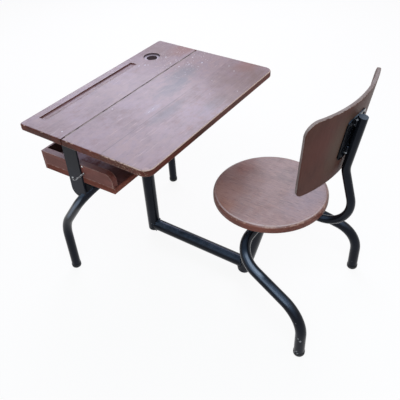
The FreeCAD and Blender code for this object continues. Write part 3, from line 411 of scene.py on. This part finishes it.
    # roughness, relief and, where the wood has one, a worn coat of varnish
    def addGloss(self):
        spec, finish = self.spec, self.finish
        rough = spec["rough"] + self.cloud.swing(spec["roughSwing"])
        rough = rough + self.pore * spec["poreRough"] + self.rub * spec["rubRough"]
        relief = finish.bump(self.fibre * spec["fibreHeight"] - self.pore, spec["relief"])
        finish.set(Base_Color=self.colour, Roughness=rough, Specular_IOR_Level=spec["gloss"], Normal=relief)
        if "coat" in spec:
            coat = spec["coat"]
            lost = finish.step(self.y + self.cloud.swing(coat["swing"]), *coat["fade"]) * coat["lost"]
            kept = (1 - lost) * (blend((self.mottle, self.cloud), coat["shares"]) + coat["least"])
            kept = kept * (1 - self.dull * coat["stainDull"])
            finish.set(Coat_Weight=kept * finish.step(self.lift, *coat["from"]) * coat["weight"],
                       Coat_Roughness=coat["rough"])


def makeWood(spec):
    wood = Wood(spec)
    extras = {"well": wood.addWell, "grimeAndShade": wood.addInsideShade, "rimHighlight": wood.addRimHighlight, "fray": wood.addFray,
              "arris": wood.addArris, "ply": wood.addPly, "glueLine": wood.addGlueLine,
              "specks": wood.addSpecks}

    def addExtras(*keys):
        for key in keys:
            if key in spec:
                extras[key](spec[key])

    wood.addClouds()
    wood.addPaintedSheen()
    wood.addStains()
    wood.addSides()
    addExtras("well", "grimeAndShade", "rimHighlight")
    wood.addPores()
    wood.addRub()
    addExtras("fray", "arris", "ply", "glueLine", "specks")
    wood.addGloss()
    return wood.finish.material


# what the woods share; a pair named From, To or Edge holds the two limits of a soft step
woodBase = {"dashRate": 8.0, "dashFine": 3.0, "boardShift": (0.31, 0.47), "driftShift": 5.3, "driftRate": 0.4,
            "mottleStretch": 1.6, "mottleShift": 2.7, "mottleRate": 3.2, "figureRate": 0.16,
            "fibreShare": 0.35, "toneFrom": (0.38, 0.62), "warmFrom": (0.42, 0.68), "coolFrom": (0.46, 0.66),
            "topFrom": (0.86, 0.985), "wallFrom": (0.72, 0.96), "wallShare": 1.0,
            "edgeFrom": (0.35, 0.65), "edgeTo": (0.93, 0.99), "tintSwing": 1.2, "tintEdge": (0.3, 1.1),
            "sheenShares": (0.35, 0.25, 0.4), "sheenFrom": (0.36, 0.62), "paintedSheenLost": 0.85,
            "rosySheenShares": (0.5, 0.5), "rosySheenFrom": (0.42, 0.6),
            "scratchRates": (260.0, 14.0, 40.0), "scratchFrom": (0.66, 0.74), "scratchShare": 0.22,
            "stainCloud": 3.0, "stainFibre": 1.2, "stainEdge": (-0.5, 1.5),
            "poreFrom": 0.60, "poreSoft": 0.12, "poreRough": 0.1, "fleckTo": (0.34, 0.42),
            "rubSwing": 0.25, "rubSoft": 0.1, "rubRough": 0.15, "roughSwing": 0.2, "fibreHeight": 0.6,
            "arrisSamples": 6, "arrisBend": (0.02, 0.12), "arrisFrom": (0.40, 0.60)}
varnish = {"swing": 0.12, "shares": (0.6, 0.6), "least": 0.4}
seamEase = 0.001
seams = [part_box("lid_middle_board")[0].x - seamEase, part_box("lid_front_board")[0].x]
blueStain, redStain, brownStain = (0.070, 0.076, 0.092), (0.21, 0.062, 0.042), (0.115, 0.050, 0.032)
# stains and specks: centre x and y, reach in x and y; a stain then has its share and colour
topStains = [(-0.195, 0.140, 0.045, 0.075, 0.65, blueStain), (-0.170, 0.050, 0.028, 0.090, 0.55, blueStain),
             (-0.105, -0.067, 0.025, 0.070, 0.5, blueStain), (-0.018, 0.025, 0.022, 0.070, 0.5, blueStain),
             (-0.297, 0.279, 0.040, 0.060, 0.9, redStain), (-0.055, 0.283, 0.040, 0.060, 0.9, redStain),
             (0.010, -0.291, 0.014, 0.008, 0.5, (0.50, 0.33, 0.30)),
             (-0.146, -0.066, 0.014, 0.036, 0.25, (0.46, 0.44, 0.52)),
             (-0.025, 0.190, 0.085, 0.170, 0.7, brownStain), (-0.350, 0.250, 0.080, 0.090, 0.5, brownStain)]
topSpecks = {"ovals": [(-0.330, 0.131, 0.0024, 0.0034), (-0.322, 0.1355, 0.0016, 0.0022),
                       (-0.308, 0.2070, 0.0022, 0.0030), (-0.2335, 0.1736, 0.0018, 0.0028),
                       (-0.187, 0.229, 0.0024, 0.0034), (-0.277, -0.271, 0.0020, 0.0024),
                       (-0.241, -0.121, 0.0016, 0.0022), (-0.234, 0.246, 0.0016, 0.0030),
                       (-0.215, 0.196, 0.0012, 0.0020), (-0.098, 0.148, 0.0012, 0.0018),
                       (-0.1465, -0.064, 0.0009, 0.0060), (-0.145, -0.084, 0.0008, 0.0040),
                       (-0.2700, 0.1795, 0.0020, 0.0030), (-0.2680, 0.2054, 0.0018, 0.0026),
                       (-0.3422, 0.1166, 0.0018, 0.0026), (-0.0735, 0.2294, 0.0018, 0.0026),
                       (-0.1037, 0.2502, 0.0016, 0.0030), (-0.059, 0.077, 0.0012, 0.0018),
                       (-0.001, 0.129, 0.0014, 0.0018)],
             "swing": 1.6, "edge": (0.5, 1.1), "share": 0.75, "colour": (0.55, 0.54, 0.55),
             "crumbs": {"scale": 210.0, "from": (0.67, 0.73), "x": -0.25, "reach": (0.05, 0.1),
                        "y": (0.06, 0.2), "share": 0.8}}
topWood = {**woodBase, "name": "topWood", "grain": "y", "across": 200.0, "along": 9.0, "blotch": 11.0,
           "figure": 0.25, "seams": seams, "dark": (0.130, 0.058, 0.050), "pale": (0.200, 0.095, 0.085),
           "sideDark": (0.060, 0.017, 0.011), "sidePale": (0.140, 0.038, 0.025),
           "warmShare": 0.55, "warm": (0.195, 0.078, 0.060), "coolShare": 0.4, "cool": (0.140, 0.100, 0.115),
           # a lavender and rosy painted sky sheen on what faces up
           "paintedSheen": (0.185, 0.148, 0.212), "paintedSheenRose": (0.220, 0.130, 0.130), "paintedSheenShare": 0.75,
           "poreShare": 0.35, "poreColour": (0.05, 0.025, 0.024),
           "rubShare": 0.85, "rubScale": 95.0, "rubLimit": 0.56, "rubColour": (0.62, 0.46, 0.38),
           "rough": 0.44, "roughSwing": 0.25, "gloss": 0.12, "relief": 0.00012,
           "coat": {**varnish, "weight": 0.82, "rough": 0.40, "fade": (0.0, 0.24), "lost": 0.62,
                    "from": (0.75, 0.95), "stainDull": 0.28},
           "softBox": {"x": (-0.385, -0.350), "y": (-0.27, 0.14), "share": 0.6},
           # the inkwell's recess; its floor colour is a pale painted sky sheen
           "well": {"place": (-0.3496, 0.189), "reach": 0.027, "share": 0.8, "walls": (0.100, 0.076, 0.086),
                    "floorBelow": 0.5435, "floor": (0.34, 0.29, 0.34)},
           "fray": {"x": (-0.20, -0.01), "facing": (-0.9, -0.6), "stretch": 0.6, "scale": 330.0,
                    "from": (0.56, 0.66), "share": 0.75, "colour": (0.52, 0.38, 0.25)},
           "glueLine": {"x": seams[1], "width": 0.0011, "core": 0.4, "swing": 0.0006, "fade": (-0.05, 0.20),
                        "share": 0.75},
           "wornEdges": [((-0.17, -0.05), (-0.28, -0.3), 0.14), ((0.004, 0.014), (-0.40, -0.30), 0.30),
                         ((0.0, 0.012), (-0.22, -0.28), 0.12)],
           "stains": topStains, "specks": topSpecks}
boxWood = {**woodBase, "name": "boxWood", "grain": "x", "across": 190.0, "along": 9.0, "blotch": 11.0,
           "figure": 0.3, "dark": (0.140, 0.040, 0.029), "pale": (0.235, 0.078, 0.060),
           "sideDark": (0.140, 0.040, 0.029), "sidePale": (0.245, 0.080, 0.061),
           "warmShare": 0.5, "warm": (0.245, 0.072, 0.052), "coolShare": 0.3, "cool": (0.17, 0.080, 0.068),
           # a painted sky sheen on the top edges, with less of it towards the front
           "paintedSheen": (0.29, 0.235, 0.28), "paintedSheenRose": (0.27, 0.19, 0.20), "paintedSheenShare": 0.85,
           "paintedSheenFade": (-0.31, -0.20),
           "poreShare": 0.4, "poreColour": (0.06, 0.020, 0.016),
           "rubShare": 0.5, "rubScale": 95.0, "rubLimit": 0.54, "rubColour": (0.46, 0.29, 0.23),
           "rough": 0.45, "gloss": 0.2, "relief": 0.00018, "arris": (0.005, 0.75),
           # painted shade inside the box, on its rear panel and its floor
           "grimeAndShade": {"rearFrom": (0.5, 0.9), "rearBehind": -0.402, "rearShare": 0.85,
                     "rear": (0.016, 0.008, 0.007), "floorBelow": 0.405, "floorShare": 0.45,
                     "floor": (0.052, 0.020, 0.018)}}
# the box's bottom board is duller inside, more orange at its edges, and has a paler painted sky sheen inside
bottomWood = {**boxWood, "name": "bottomWood", "gloss": 0.03, "rough": 0.6, "arris": (0.004, 0.5),
              "sideDark": (0.150, 0.045, 0.030), "sidePale": (0.262, 0.090, 0.062),
              "paintedSheen": (0.48, 0.42, 0.50), "paintedSheenRose": (0.44, 0.34, 0.38), "paintedSheenShare": 1.0,
              "paintedSheenFade": (-0.27, -0.19)}
seatStains = [(0.078, -0.075, 0.050, 0.060, 0.8, (0.34, 0.18, 0.15)),
              (0.073, 0.055, 0.030, 0.050, 0.75, redStain),
              (0.112, -0.125, 0.030, 0.040, 0.7, (0.30, 0.12, 0.075)),
              (0.200, 0.075, 0.060, 0.040, 0.2, blueStain),
              # the last entry is a lavender painted sky sheen towards the backrest, not a stain
              (0.285, 0.010, 0.055, 0.090, 0.6, (0.185, 0.155, 0.215))]
seatWood = {**woodBase, "name": "seatWood", "grain": "x", "across": 150.0, "along": 7.0, "blotch": 8.0,
            "figure": 0.25, "dark": (0.175, 0.078, 0.060), "pale": (0.255, 0.125, 0.100),
            "sideDark": (0.095, 0.028, 0.018), "sidePale": (0.190, 0.062, 0.042),
            "warmShare": 0.5, "warm": (0.24, 0.095, 0.068), "coolShare": 0.4, "cool": (0.19, 0.120, 0.110),
            # a painted sky sheen on what faces up
            "paintedSheen": (0.245, 0.170, 0.185), "paintedSheenRose": (0.265, 0.140, 0.115), "paintedSheenShare": 0.6,
            "dashFine": 5.0, "poreFrom": 0.57, "poreShare": 0.7, "poreColour": (0.08, 0.036, 0.030),
            "fleckShare": 0.25,
            "rubShare": 0.55, "rubScale": 90.0, "rubLimit": 0.50, "rubColour": (0.48, 0.31, 0.24),
            "rough": 0.42, "gloss": 0.2, "relief": 0.00014,
            "coat": {**varnish, "weight": 0.75, "rough": 0.36, "fade": (0.30, 0.40), "lost": 0.0,
                     "from": (0.35, 0.55), "stainDull": 0.2},
            # a pale painted highlight on the rounded rim
            "rimHighlight": {"from": (0.80, 0.93), "to": (0.985, 0.998), "centreX": 0.184, "way": (0.45, -0.89),
                     "side": (-0.02, 0.11), "fibre": 0.5, "least": 0.6, "share": 0.95,
                     "colour": (0.55, 0.43, 0.42)},
            "stains": seatStains}
# the backrest's own axes: out of its back face and round its curve, leaning with the tube
backCurve = {"lean": 9.1, "twist": -4.3, "bend": 0.429, "thick": 0.009, "mid": (0.39009, 0.0, 0.587),
             "stand": 0.0141}
backAxes = (Matrix.Rotation(math.radians(backCurve["lean"]), 3, "Y")
            @ Matrix.Rotation(math.radians(backCurve["twist"]), 3, "Z"))
backCentre = Vector(backCurve["mid"]) - backAxes.col[0] * (backCurve["stand"] + backCurve["bend"])
plyEdge = {"centre": tuple(backCentre), "out": tuple(backAxes.col[0]), "round": tuple(backAxes.col[1]),
           "inner": backCurve["bend"] - backCurve["thick"], "pitch": 0.0018, "half": 0.5, "swing": 0.0004,
           "lineFrom": (0.32, 0.42), "pale": (0.40, 0.35, 0.33), "line": (0.16, 0.10, 0.085),
           "stainFrom": (0.35, 0.6), "stainShare": 0.5, "facing": (0.25, 0.5), "share": 0.8}
# tints: centre, reach, share and colour
backTints = [((0.375, -0.125, 0.620), 0.080, 0.65, (0.104, 0.027, 0.020)),
             ((0.392, -0.040, 0.610), 0.080, 0.75, (0.088, 0.061, 0.039)),
             ((0.375, -0.060, 0.545), 0.055, 0.60, (0.085, 0.057, 0.037)),
             ((0.365, -0.125, 0.525), 0.055, 0.50, (0.094, 0.033, 0.024))]
backWood = {**woodBase, "name": "backWood", "grain": "z", "across": 200.0, "along": 10.0, "blotch": 7.0,
            "figure": 0.15, "dark": (0.052, 0.015, 0.010), "pale": (0.080, 0.029, 0.020),
            "sideDark": (0.058, 0.016, 0.011), "sidePale": (0.090, 0.033, 0.023), "wallShare": 0.3,
            "warmShare": 0.6, "warm": (0.095, 0.027, 0.019), "coolShare": 0.6, "cool": (0.080, 0.054, 0.040),
            # a painted sky sheen on what faces up
            "paintedSheen": (0.42, 0.37, 0.35), "paintedSheenRose": (0.42, 0.36, 0.33), "paintedSheenShare": 0.8,
            "poreShare": 0.3, "poreColour": (0.035, 0.016, 0.013),
            "rubShare": 0.8, "rubScale": 110.0, "rubLimit": 0.42, "rubColour": (0.42, 0.33, 0.29),
            "rough": 0.48, "gloss": 0.11, "relief": 0.00012, "ply": plyEdge, "tints": backTints}


# worn gloss paint: a bluish painted sky sheen with some dust on what faces up, painted highlights at named
# places, and chips
def makePaint(spec):
    finish = Finish(spec["name"])
    place, normal = finish.place(), finish.normal()
    cloud = finish.noise(place, spec["cloudScale"], detail=3.0, rough=0.6)
    colour = finish.mix(finish.step(cloud, *spec["paleFrom"]), spec["dark"], spec["pale"])
    # a painted sky sheen with some dust on what faces up and to the near side
    facing = finish.step(finish.dot(normal, spec["dustAndSheenWay"]), *spec["dustAndSheenFrom"])
    dustAndSheen = facing * finish.step(cloud, *spec["dustAndSheenCloud"]) * spec["dustAndSheenShare"]
    colour = finish.mix(dustAndSheen, colour, spec["dustAndSheen"])
    # painted highlights at named places, facing a given way
    for way, low, high, centre, reach, share, shine in spec.get("paintedHighlights", ()):
        turned = finish.step(finish.dot(normal, way), low, high)
        away = finish.step(finish.distance(place, centre), reach * spec["highlightCore"], reach)
        colour = finish.mix(turned * (1 - away) * share, colour, shine)
    low = 1 - finish.step(finish.split(place)[2], *spec["lowTo"])
    speck = finish.noise(place, spec["chipScale"], rough=0.6) + low * spec["lowChips"]
    chip = finish.step(speck, spec["chipLimit"], spec["chipLimit"] + spec["chipSoft"])
    if "chips" in spec:
        flake = finish.noise(place, spec["flakeScale"], rough=0.6).swing(spec["flakeSwing"])
        for *centre, reach in spec["chips"]:
            far = finish.distance(place, centre) / reach + flake
            chip = chip.most(1 - finish.step(far, *spec["chipEdge"]))
    rough = spec["rough"] + cloud.swing(spec["roughSwing"])
    rough = rough + dustAndSheen * spec["dustRough"] + chip * spec["chipRough"]
    finish.set(Base_Color=finish.mix(chip, colour, spec["chipColour"]), Roughness=rough,
               Specular_IOR_Level=spec["gloss"], Specular_Tint=spec["glossTint"],
               Normal=finish.bump(cloud * spec["wave"] - chip, spec["relief"]))
    return finish.material


paintBase = {"cloudScale": 9.0, "paleFrom": (0.35, 0.7),
             # the way and limits of a painted sky sheen with dust
             "dustAndSheenWay": (0.10, -0.45, 0.887), "dustAndSheenFrom": (0.78, 0.97), "dustAndSheenCloud": (0.25, 0.6),
             "highlightCore": 0.6, "lowTo": (0.02, 0.2), "lowChips": 0.04, "chipSoft": 0.015,
             "flakeScale": 380.0, "flakeSwing": 2.4, "chipEdge": (0.70, 0.90), "roughSwing": 0.1,
             "dustRough": 0.2, "chipRough": 0.3, "glossTint": (0.9, 0.95, 1.0)}
# chips: centre and reach
blackChips = [(0.364, -0.203, 0.160, 0.003), (0.372, -0.2025, 0.132, 0.003), (0.382, -0.2025, 0.079, 0.0025),
              (0.388, -0.2025, 0.071, 0.0035), (0.381, -0.2025, 0.024, 0.003), (0.375, -0.2025, 0.016, 0.003),
              (0.384, -0.2025, 0.016, 0.003), (0.258, -0.172, 0.180, 0.0025),
              (0.3895, -0.0100, 0.645, 0.0030), (0.3850, -0.0105, 0.632, 0.0018),
              (0.3748, -0.0100, 0.553, 0.0030), (0.3765, -0.0105, 0.548, 0.0020)]
# painted highlights on the near desk leg, the seat leg's bend and slope, and the back tube's cap:
# the way it faces, two limits of facing, centre, reach, share and colour
blackHighlights = [((0.05, -0.97, 0.20), 0.88, 0.99, (-0.298, -0.270, 0.290), 0.085, 0.9, (0.170, 0.200, 0.245)),
              ((0.21, -0.38, 0.90), 0.93, 0.995, (0.215, -0.155, 0.223), 0.048, 0.75, (0.300, 0.360, 0.440)),
              ((0.12, -0.68, 0.72), 0.975, 0.997, (0.285, -0.178, 0.193), 0.095, 0.5, (0.220, 0.270, 0.330)),
              ((0.158, 0.0, 0.987), 0.90, 0.98, (0.400, 0.0, 0.6527), 0.03, 0.6, (0.130, 0.160, 0.200))]
blackPaint = {**paintBase, "name": "blackPaint",
              "dark": (0.004, 0.0045, 0.006), "pale": (0.007, 0.008, 0.011),
              # a bluish painted sky sheen with some dust
              "dustAndSheen": (0.060, 0.086, 0.125), "dustAndSheenShare": 0.8, "paintedHighlights": blackHighlights,
              "chipScale": 85.0, "chipLimit": 0.80, "chipColour": (0.26, 0.26, 0.26), "chips": blackChips,
              "rough": 0.16, "gloss": 0.17, "glossTint": (0.66, 0.72, 0.95), "relief": 0.0002, "wave": 0.5}
platePaint = {**paintBase, "name": "platePaint",
              "dark": (0.008, 0.008, 0.012), "pale": (0.015, 0.015, 0.021),
              "dustAndSheen": (0.06, 0.06, 0.07), "dustAndSheenShare": 0.4,
              "chipScale": 90.0, "chipLimit": 0.79, "chipColour": (0.30, 0.30, 0.30),
              "rough": 0.5, "gloss": 0.2, "relief": 0.00015, "wave": 0.6}
hookPaint = {**paintBase, "name": "hookSteel",
             "dark": (0.05, 0.05, 0.055), "pale": (0.30, 0.29, 0.28),
             "dustAndSheen": (0.2, 0.2, 0.2), "dustAndSheenShare": 0.3,
             "chipScale": 300.0, "chipLimit": 0.56, "chipColour": (0.8, 0.78, 0.75),
             "rough": 0.28, "gloss": 0.9, "glossTint": (1.0, 1.0, 1.0), "relief": 0.0001, "wave": 0.5}
footRubber = {**paintBase, "name": "footRubber",
              "dark": (0.008, 0.008, 0.010), "pale": (0.016, 0.016, 0.018),
              "dustAndSheen": (0.05, 0.05, 0.05), "dustAndSheenShare": 0.4,
              "chipScale": 120.0, "chipLimit": 0.76, "chipColour": (0.20, 0.19, 0.18),
              "rough": 0.5, "gloss": 0.25, "relief": 0.0002, "wave": 0.8}


# bare steel of the hinge, the screw heads and the nail
def makeSteel(spec):
    finish = Finish(spec["name"])
    cloud = finish.noise(finish.place(), spec["scale"], detail=3.0, rough=0.6)
    grimeAndShade = finish.step(cloud, *spec["grimeFrom"])
    finish.set(Base_Color=finish.mix(grimeAndShade, spec["bright"], spec["grimeAndShade"]),
               Metallic=1 - grimeAndShade * spec["grimeCover"], Roughness=spec["rough"] + grimeAndShade * spec["grimeRough"])
    return finish.material


steelBase = {"grimeFrom": (0.4, 0.65), "grimeCover": 0.6, "grimeRough": 0.3}
hingeSteel = {**steelBase, "name": "hingeSteel", "scale": 60.0, "bright": (0.16, 0.14, 0.12),
              "grimeAndShade": (0.03, 0.022, 0.018), "rough": 0.45}
screwSteel = {**steelBase, "name": "screwSteel", "scale": 220.0, "bright": (0.42, 0.40, 0.38),
              "grimeAndShade": (0.06, 0.055, 0.05), "rough": 0.35}
nailSteel = {**steelBase, "name": "nailSteel", "scale": 500.0, "bright": (0.92, 0.90, 0.88),
             "grimeAndShade": (0.55, 0.52, 0.50), "rough": 0.4}

finishes = {
    "top_wood": makeWood(topWood), "box_wood": makeWood(boxWood), "seat_wood": makeWood(seatWood),
    "back_wood": makeWood(backWood), "black_paint": makePaint(blackPaint),
    "hinge_steel": makeSteel(hingeSteel), "hook_steel": makePaint(hookPaint),
    "screw_steel": makeSteel(screwSteel), "foot_rubber": makePaint(footRubber),
}
ownFinish = {"left_bracket": makePaint(platePaint), "box_screws": finishes["black_paint"],
             "backrest_screws": finishes["black_paint"], "box_bottom_board": makeWood(bottomWood)}
ownFinish["right_bracket"] = ownFinish["left_bracket"]
for part in frame["record"]["subparts"]:
    name = part["node"]
    for slot in nodes[name].material_slots:
        slot.material = ownFinish.get(name, finishes[part["material_slot"]])
print("finishes set")


def addPiece(name, mesh, body, material):
    data = bpy.data.meshes.new(name)
    mesh.to_mesh(data)
    mesh.free()
    for face in data.polygons:
        face.use_smooth = True
    data.materials.append(material)
    made = addObject(name, data)
    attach(made, body)


# stitch welds on both sides of the back tube, at the plate's ends: a small disc extruded into a rippled rod,
# without the discs inside it
stitches = {"mid": (0.39153, 0.0, 0.596), "inside": -0.0096, "apart": 0.0084, "rise": 0.040, "length": 0.024,
            "radius": 0.0030, "sides": 12,
            "swell": (0.5, 0.9, 1.0, 0.86, 1.0, 0.86, 1.0, 0.86, 1.0, 0.9, 0.5)}


def addStitch(mesh, start, spec):
    swell = spec["swell"]
    made = bmesh.ops.create_circle(mesh, cap_ends=True, segments=spec["sides"],
                                   radius=spec["radius"] * swell[0])["verts"]
    rings, discs, pitch = list(made), [made[0].link_faces[0]], spec["length"] / (len(swell) - 1)
    for before, after in zip(swell, swell[1:]):
        grown = bmesh.ops.extrude_face_region(mesh, geom=[discs[-1]])["geom"]
        face = next(part for part in grown if isinstance(part, bmesh.types.BMFace))
        discs.append(face)
        rings += face.verts
        bmesh.ops.scale(mesh, vec=(after / before, after / before, 1), verts=face.verts)
        bmesh.ops.translate(mesh, vec=(0, 0, pitch), verts=face.verts)
    bmesh.ops.delete(mesh, geom=discs[1:-1], context="FACES_ONLY")
    bmesh.ops.transform(mesh, matrix=Matrix.Translation(start) @ backAxes.to_4x4(), verts=rings)


def makeStitches(spec):
    mesh = bmesh.new()
    for side in (-1, 1):
        for rise in (-spec["rise"], spec["rise"]):
            local = Vector((spec["inside"], side * spec["apart"], rise - spec["length"] / 2))
            addStitch(mesh, Vector(spec["mid"]) + backAxes @ local, spec)
    bmesh.ops.recalc_face_normals(mesh, faces=mesh.faces)
    return mesh


# weld beads: a small circle spun round a tube, then shifted to where that tube meets the next one
welds = {"postX": -0.25862, "spineZ": 0.036, "seatFootX": 0.10338, "lean": math.radians(14.396),
         "backZ": 0.32495, "barX": 0.15343, "barZ": 0.231, "deskBarZ": 0.343, "plateZ": 0.336,
         "post": 0.020, "spine": 0.019, "back": 0.011, "seatBar": 0.015, "deskBar": 0.01375,
         "bead": 0.0026, "sides": 10, "steps": 72, "ripple": 0.0016, "waves": 17}


def addBead(mesh, spec, start, way, radius, mainWay, mainRadius):
    made = bmesh.ops.create_circle(mesh, segments=spec["sides"], radius=spec["bead"])["verts"]
    bmesh.ops.rotate(mesh, verts=made, matrix=Matrix.Rotation(math.pi / 2, 3, "X"))
    bmesh.ops.translate(mesh, verts=made, vec=(radius, 0, 0))
    edges = list({edge for vert in made for edge in vert.link_edges})
    before = set(mesh.verts) - set(made)
    bmesh.ops.spin(mesh, geom=made + edges, axis=(0, 0, 1), cent=(0, 0, 0), angle=2 * math.pi,
                   steps=spec["steps"], use_merge=True)
    start, way, mainWay = Vector(start), Vector(way), Vector(mainWay)
    turn = Vector((0, 0, 1)).rotation_difference(way).to_matrix()
    flatWay = way - mainWay * way.dot(mainWay)
    square = flatWay.length_squared
    for vert in set(mesh.verts) - before:
        angle = math.atan2(vert.co.y, vert.co.x)
        rim = turn @ Vector((math.cos(angle) * radius, math.sin(angle) * radius, 0))
        flatRim = rim - mainWay * rim.dot(mainWay)
        cross = flatRim.dot(flatWay)
        inside = cross * cross - square * (flatRim.length_squared - mainRadius ** 2)
        reach = (math.sqrt(max(inside, 0)) - cross) / square
        ripple = 1 + spec["ripple"] / radius * math.sin(angle * spec["waves"])
        vert.co = turn @ Vector((vert.co.x * ripple, vert.co.y * ripple, vert.co.z)) + way * reach + start


def makeWelds(spec):
    mesh = bmesh.new()
    postWay = (math.sin(spec["lean"]), 0, math.cos(spec["lean"]))
    backX = spec["seatFootX"] + (spec["backZ"] - spec["spineZ"]) * math.tan(spec["lean"])
    deskFoot, seatFoot = ((spec[key], 0, spec["spineZ"]) for key in ("postX", "seatFootX"))
    bar = (spec["barX"], 0, spec["barZ"])
    joints = [(deskFoot, (1, 0, 0), spec["spine"], (0, 0, 1), spec["post"]),
              (seatFoot, (-1, 0, 0), spec["spine"], postWay, spec["post"]),
              ((backX, 0, spec["backZ"]), (1, 0, 0), spec["back"], postWay, spec["post"]),
              (bar, (0, 1, 0), spec["seatBar"], postWay, spec["post"]),
              (bar, (0, -1, 0), spec["seatBar"], postWay, spec["post"]),
              ((spec["postX"], 0, spec["deskBarZ"]), (0, 0, -1), spec["post"], (0, 1, 0), spec["deskBar"])]
    for joint in joints:
        addBead(mesh, spec, *joint)
    for vert in mesh.verts:
        vert.co.z = min(vert.co.z, spec["deskBarZ"] if vert.co.x < 0 else spec["plateZ"])
    bmesh.ops.recalc_face_normals(mesh, faces=mesh.faces)
    return mesh


addPiece("back_plate_welds", makeStitches(stitches), "desk", finishes["black_paint"])
addPiece("frame_welds", makeWelds(welds), "desk", finishes["black_paint"])
print("welds made")

# small plates that brace the brackets against the tube, under the box; corners in x and z
gussets = {"corners": [(-0.2760, 0.3735), (-0.2350, 0.3718), (-0.2620, 0.3390), (-0.2760, 0.3290)],
           "outside": 0.2498, "thick": 0.005, "soften": 0.0006, "segments": 2, "profile": 0.5}
# the bracket paint made darker and duller: painted shade under the box
gussetShadePaint = {**platePaint, "name": "gussetShadePaint",
               "dark": (0.003, 0.003, 0.004), "pale": (0.006, 0.006, 0.009), "dustAndSheenShare": 0.0, "gloss": 0.06}


def makeGussets(spec):
    mesh = bmesh.new()
    for side in (-1, 1):
        corners = [mesh.verts.new((x, side * spec["outside"], z)) for x, z in spec["corners"]]
        face = mesh.faces.new(corners)
        grown = bmesh.ops.extrude_face_region(mesh, geom=[face], use_keep_orig=True)["geom"]
        inner = [part for part in grown if isinstance(part, bmesh.types.BMVert)]
        bmesh.ops.translate(mesh, vec=(0, -side * spec["thick"], 0), verts=inner)
    bmesh.ops.recalc_face_normals(mesh, faces=mesh.faces)
    bmesh.ops.bevel(mesh, geom=mesh.edges[:], offset=spec["soften"], affect="EDGES",
                    segments=spec["segments"], profile=spec["profile"], material=-1)
    return mesh


addPiece("bracket_gussets", makeGussets(gussets), "desk", makePaint(gussetShadePaint))
print("gussets made")

# nail at the top of the box side, above the hook; its outline in radius and height
nail = {"place": (-0.2573, -0.2505, 0.4310), "steps": 20, "weld": 0.00001,
        "outline": [(0.0, 0.0016), (0.0016, 0.0013), (0.0026, 0.0004), (0.0026, -0.0006),
                    (0.0010, -0.0008), (0.0010, -0.008), (0.0, -0.009)]}


def makeNail(spec):
    mesh = bmesh.new()
    line = [mesh.verts.new((out, 0, up)) for out, up in spec["outline"]]
    edges = [mesh.edges.new(pair) for pair in zip(line, line[1:])]
    bmesh.ops.spin(mesh, geom=line + edges, axis=(0, 0, 1), cent=(0, 0, 0), angle=2 * math.pi,
                   steps=spec["steps"], use_merge=True)
    bmesh.ops.remove_doubles(mesh, verts=mesh.verts, dist=spec["weld"])
    bmesh.ops.recalc_face_normals(mesh, faces=mesh.faces)
    bmesh.ops.rotate(mesh, verts=mesh.verts, matrix=Matrix.Rotation(math.pi / 2, 3, "X"))
    bmesh.ops.translate(mesh, verts=mesh.verts, vec=spec["place"])
    return mesh


addPiece("box_nail", makeNail(nail), "desk", makeSteel(nailSteel))
print("nail made")
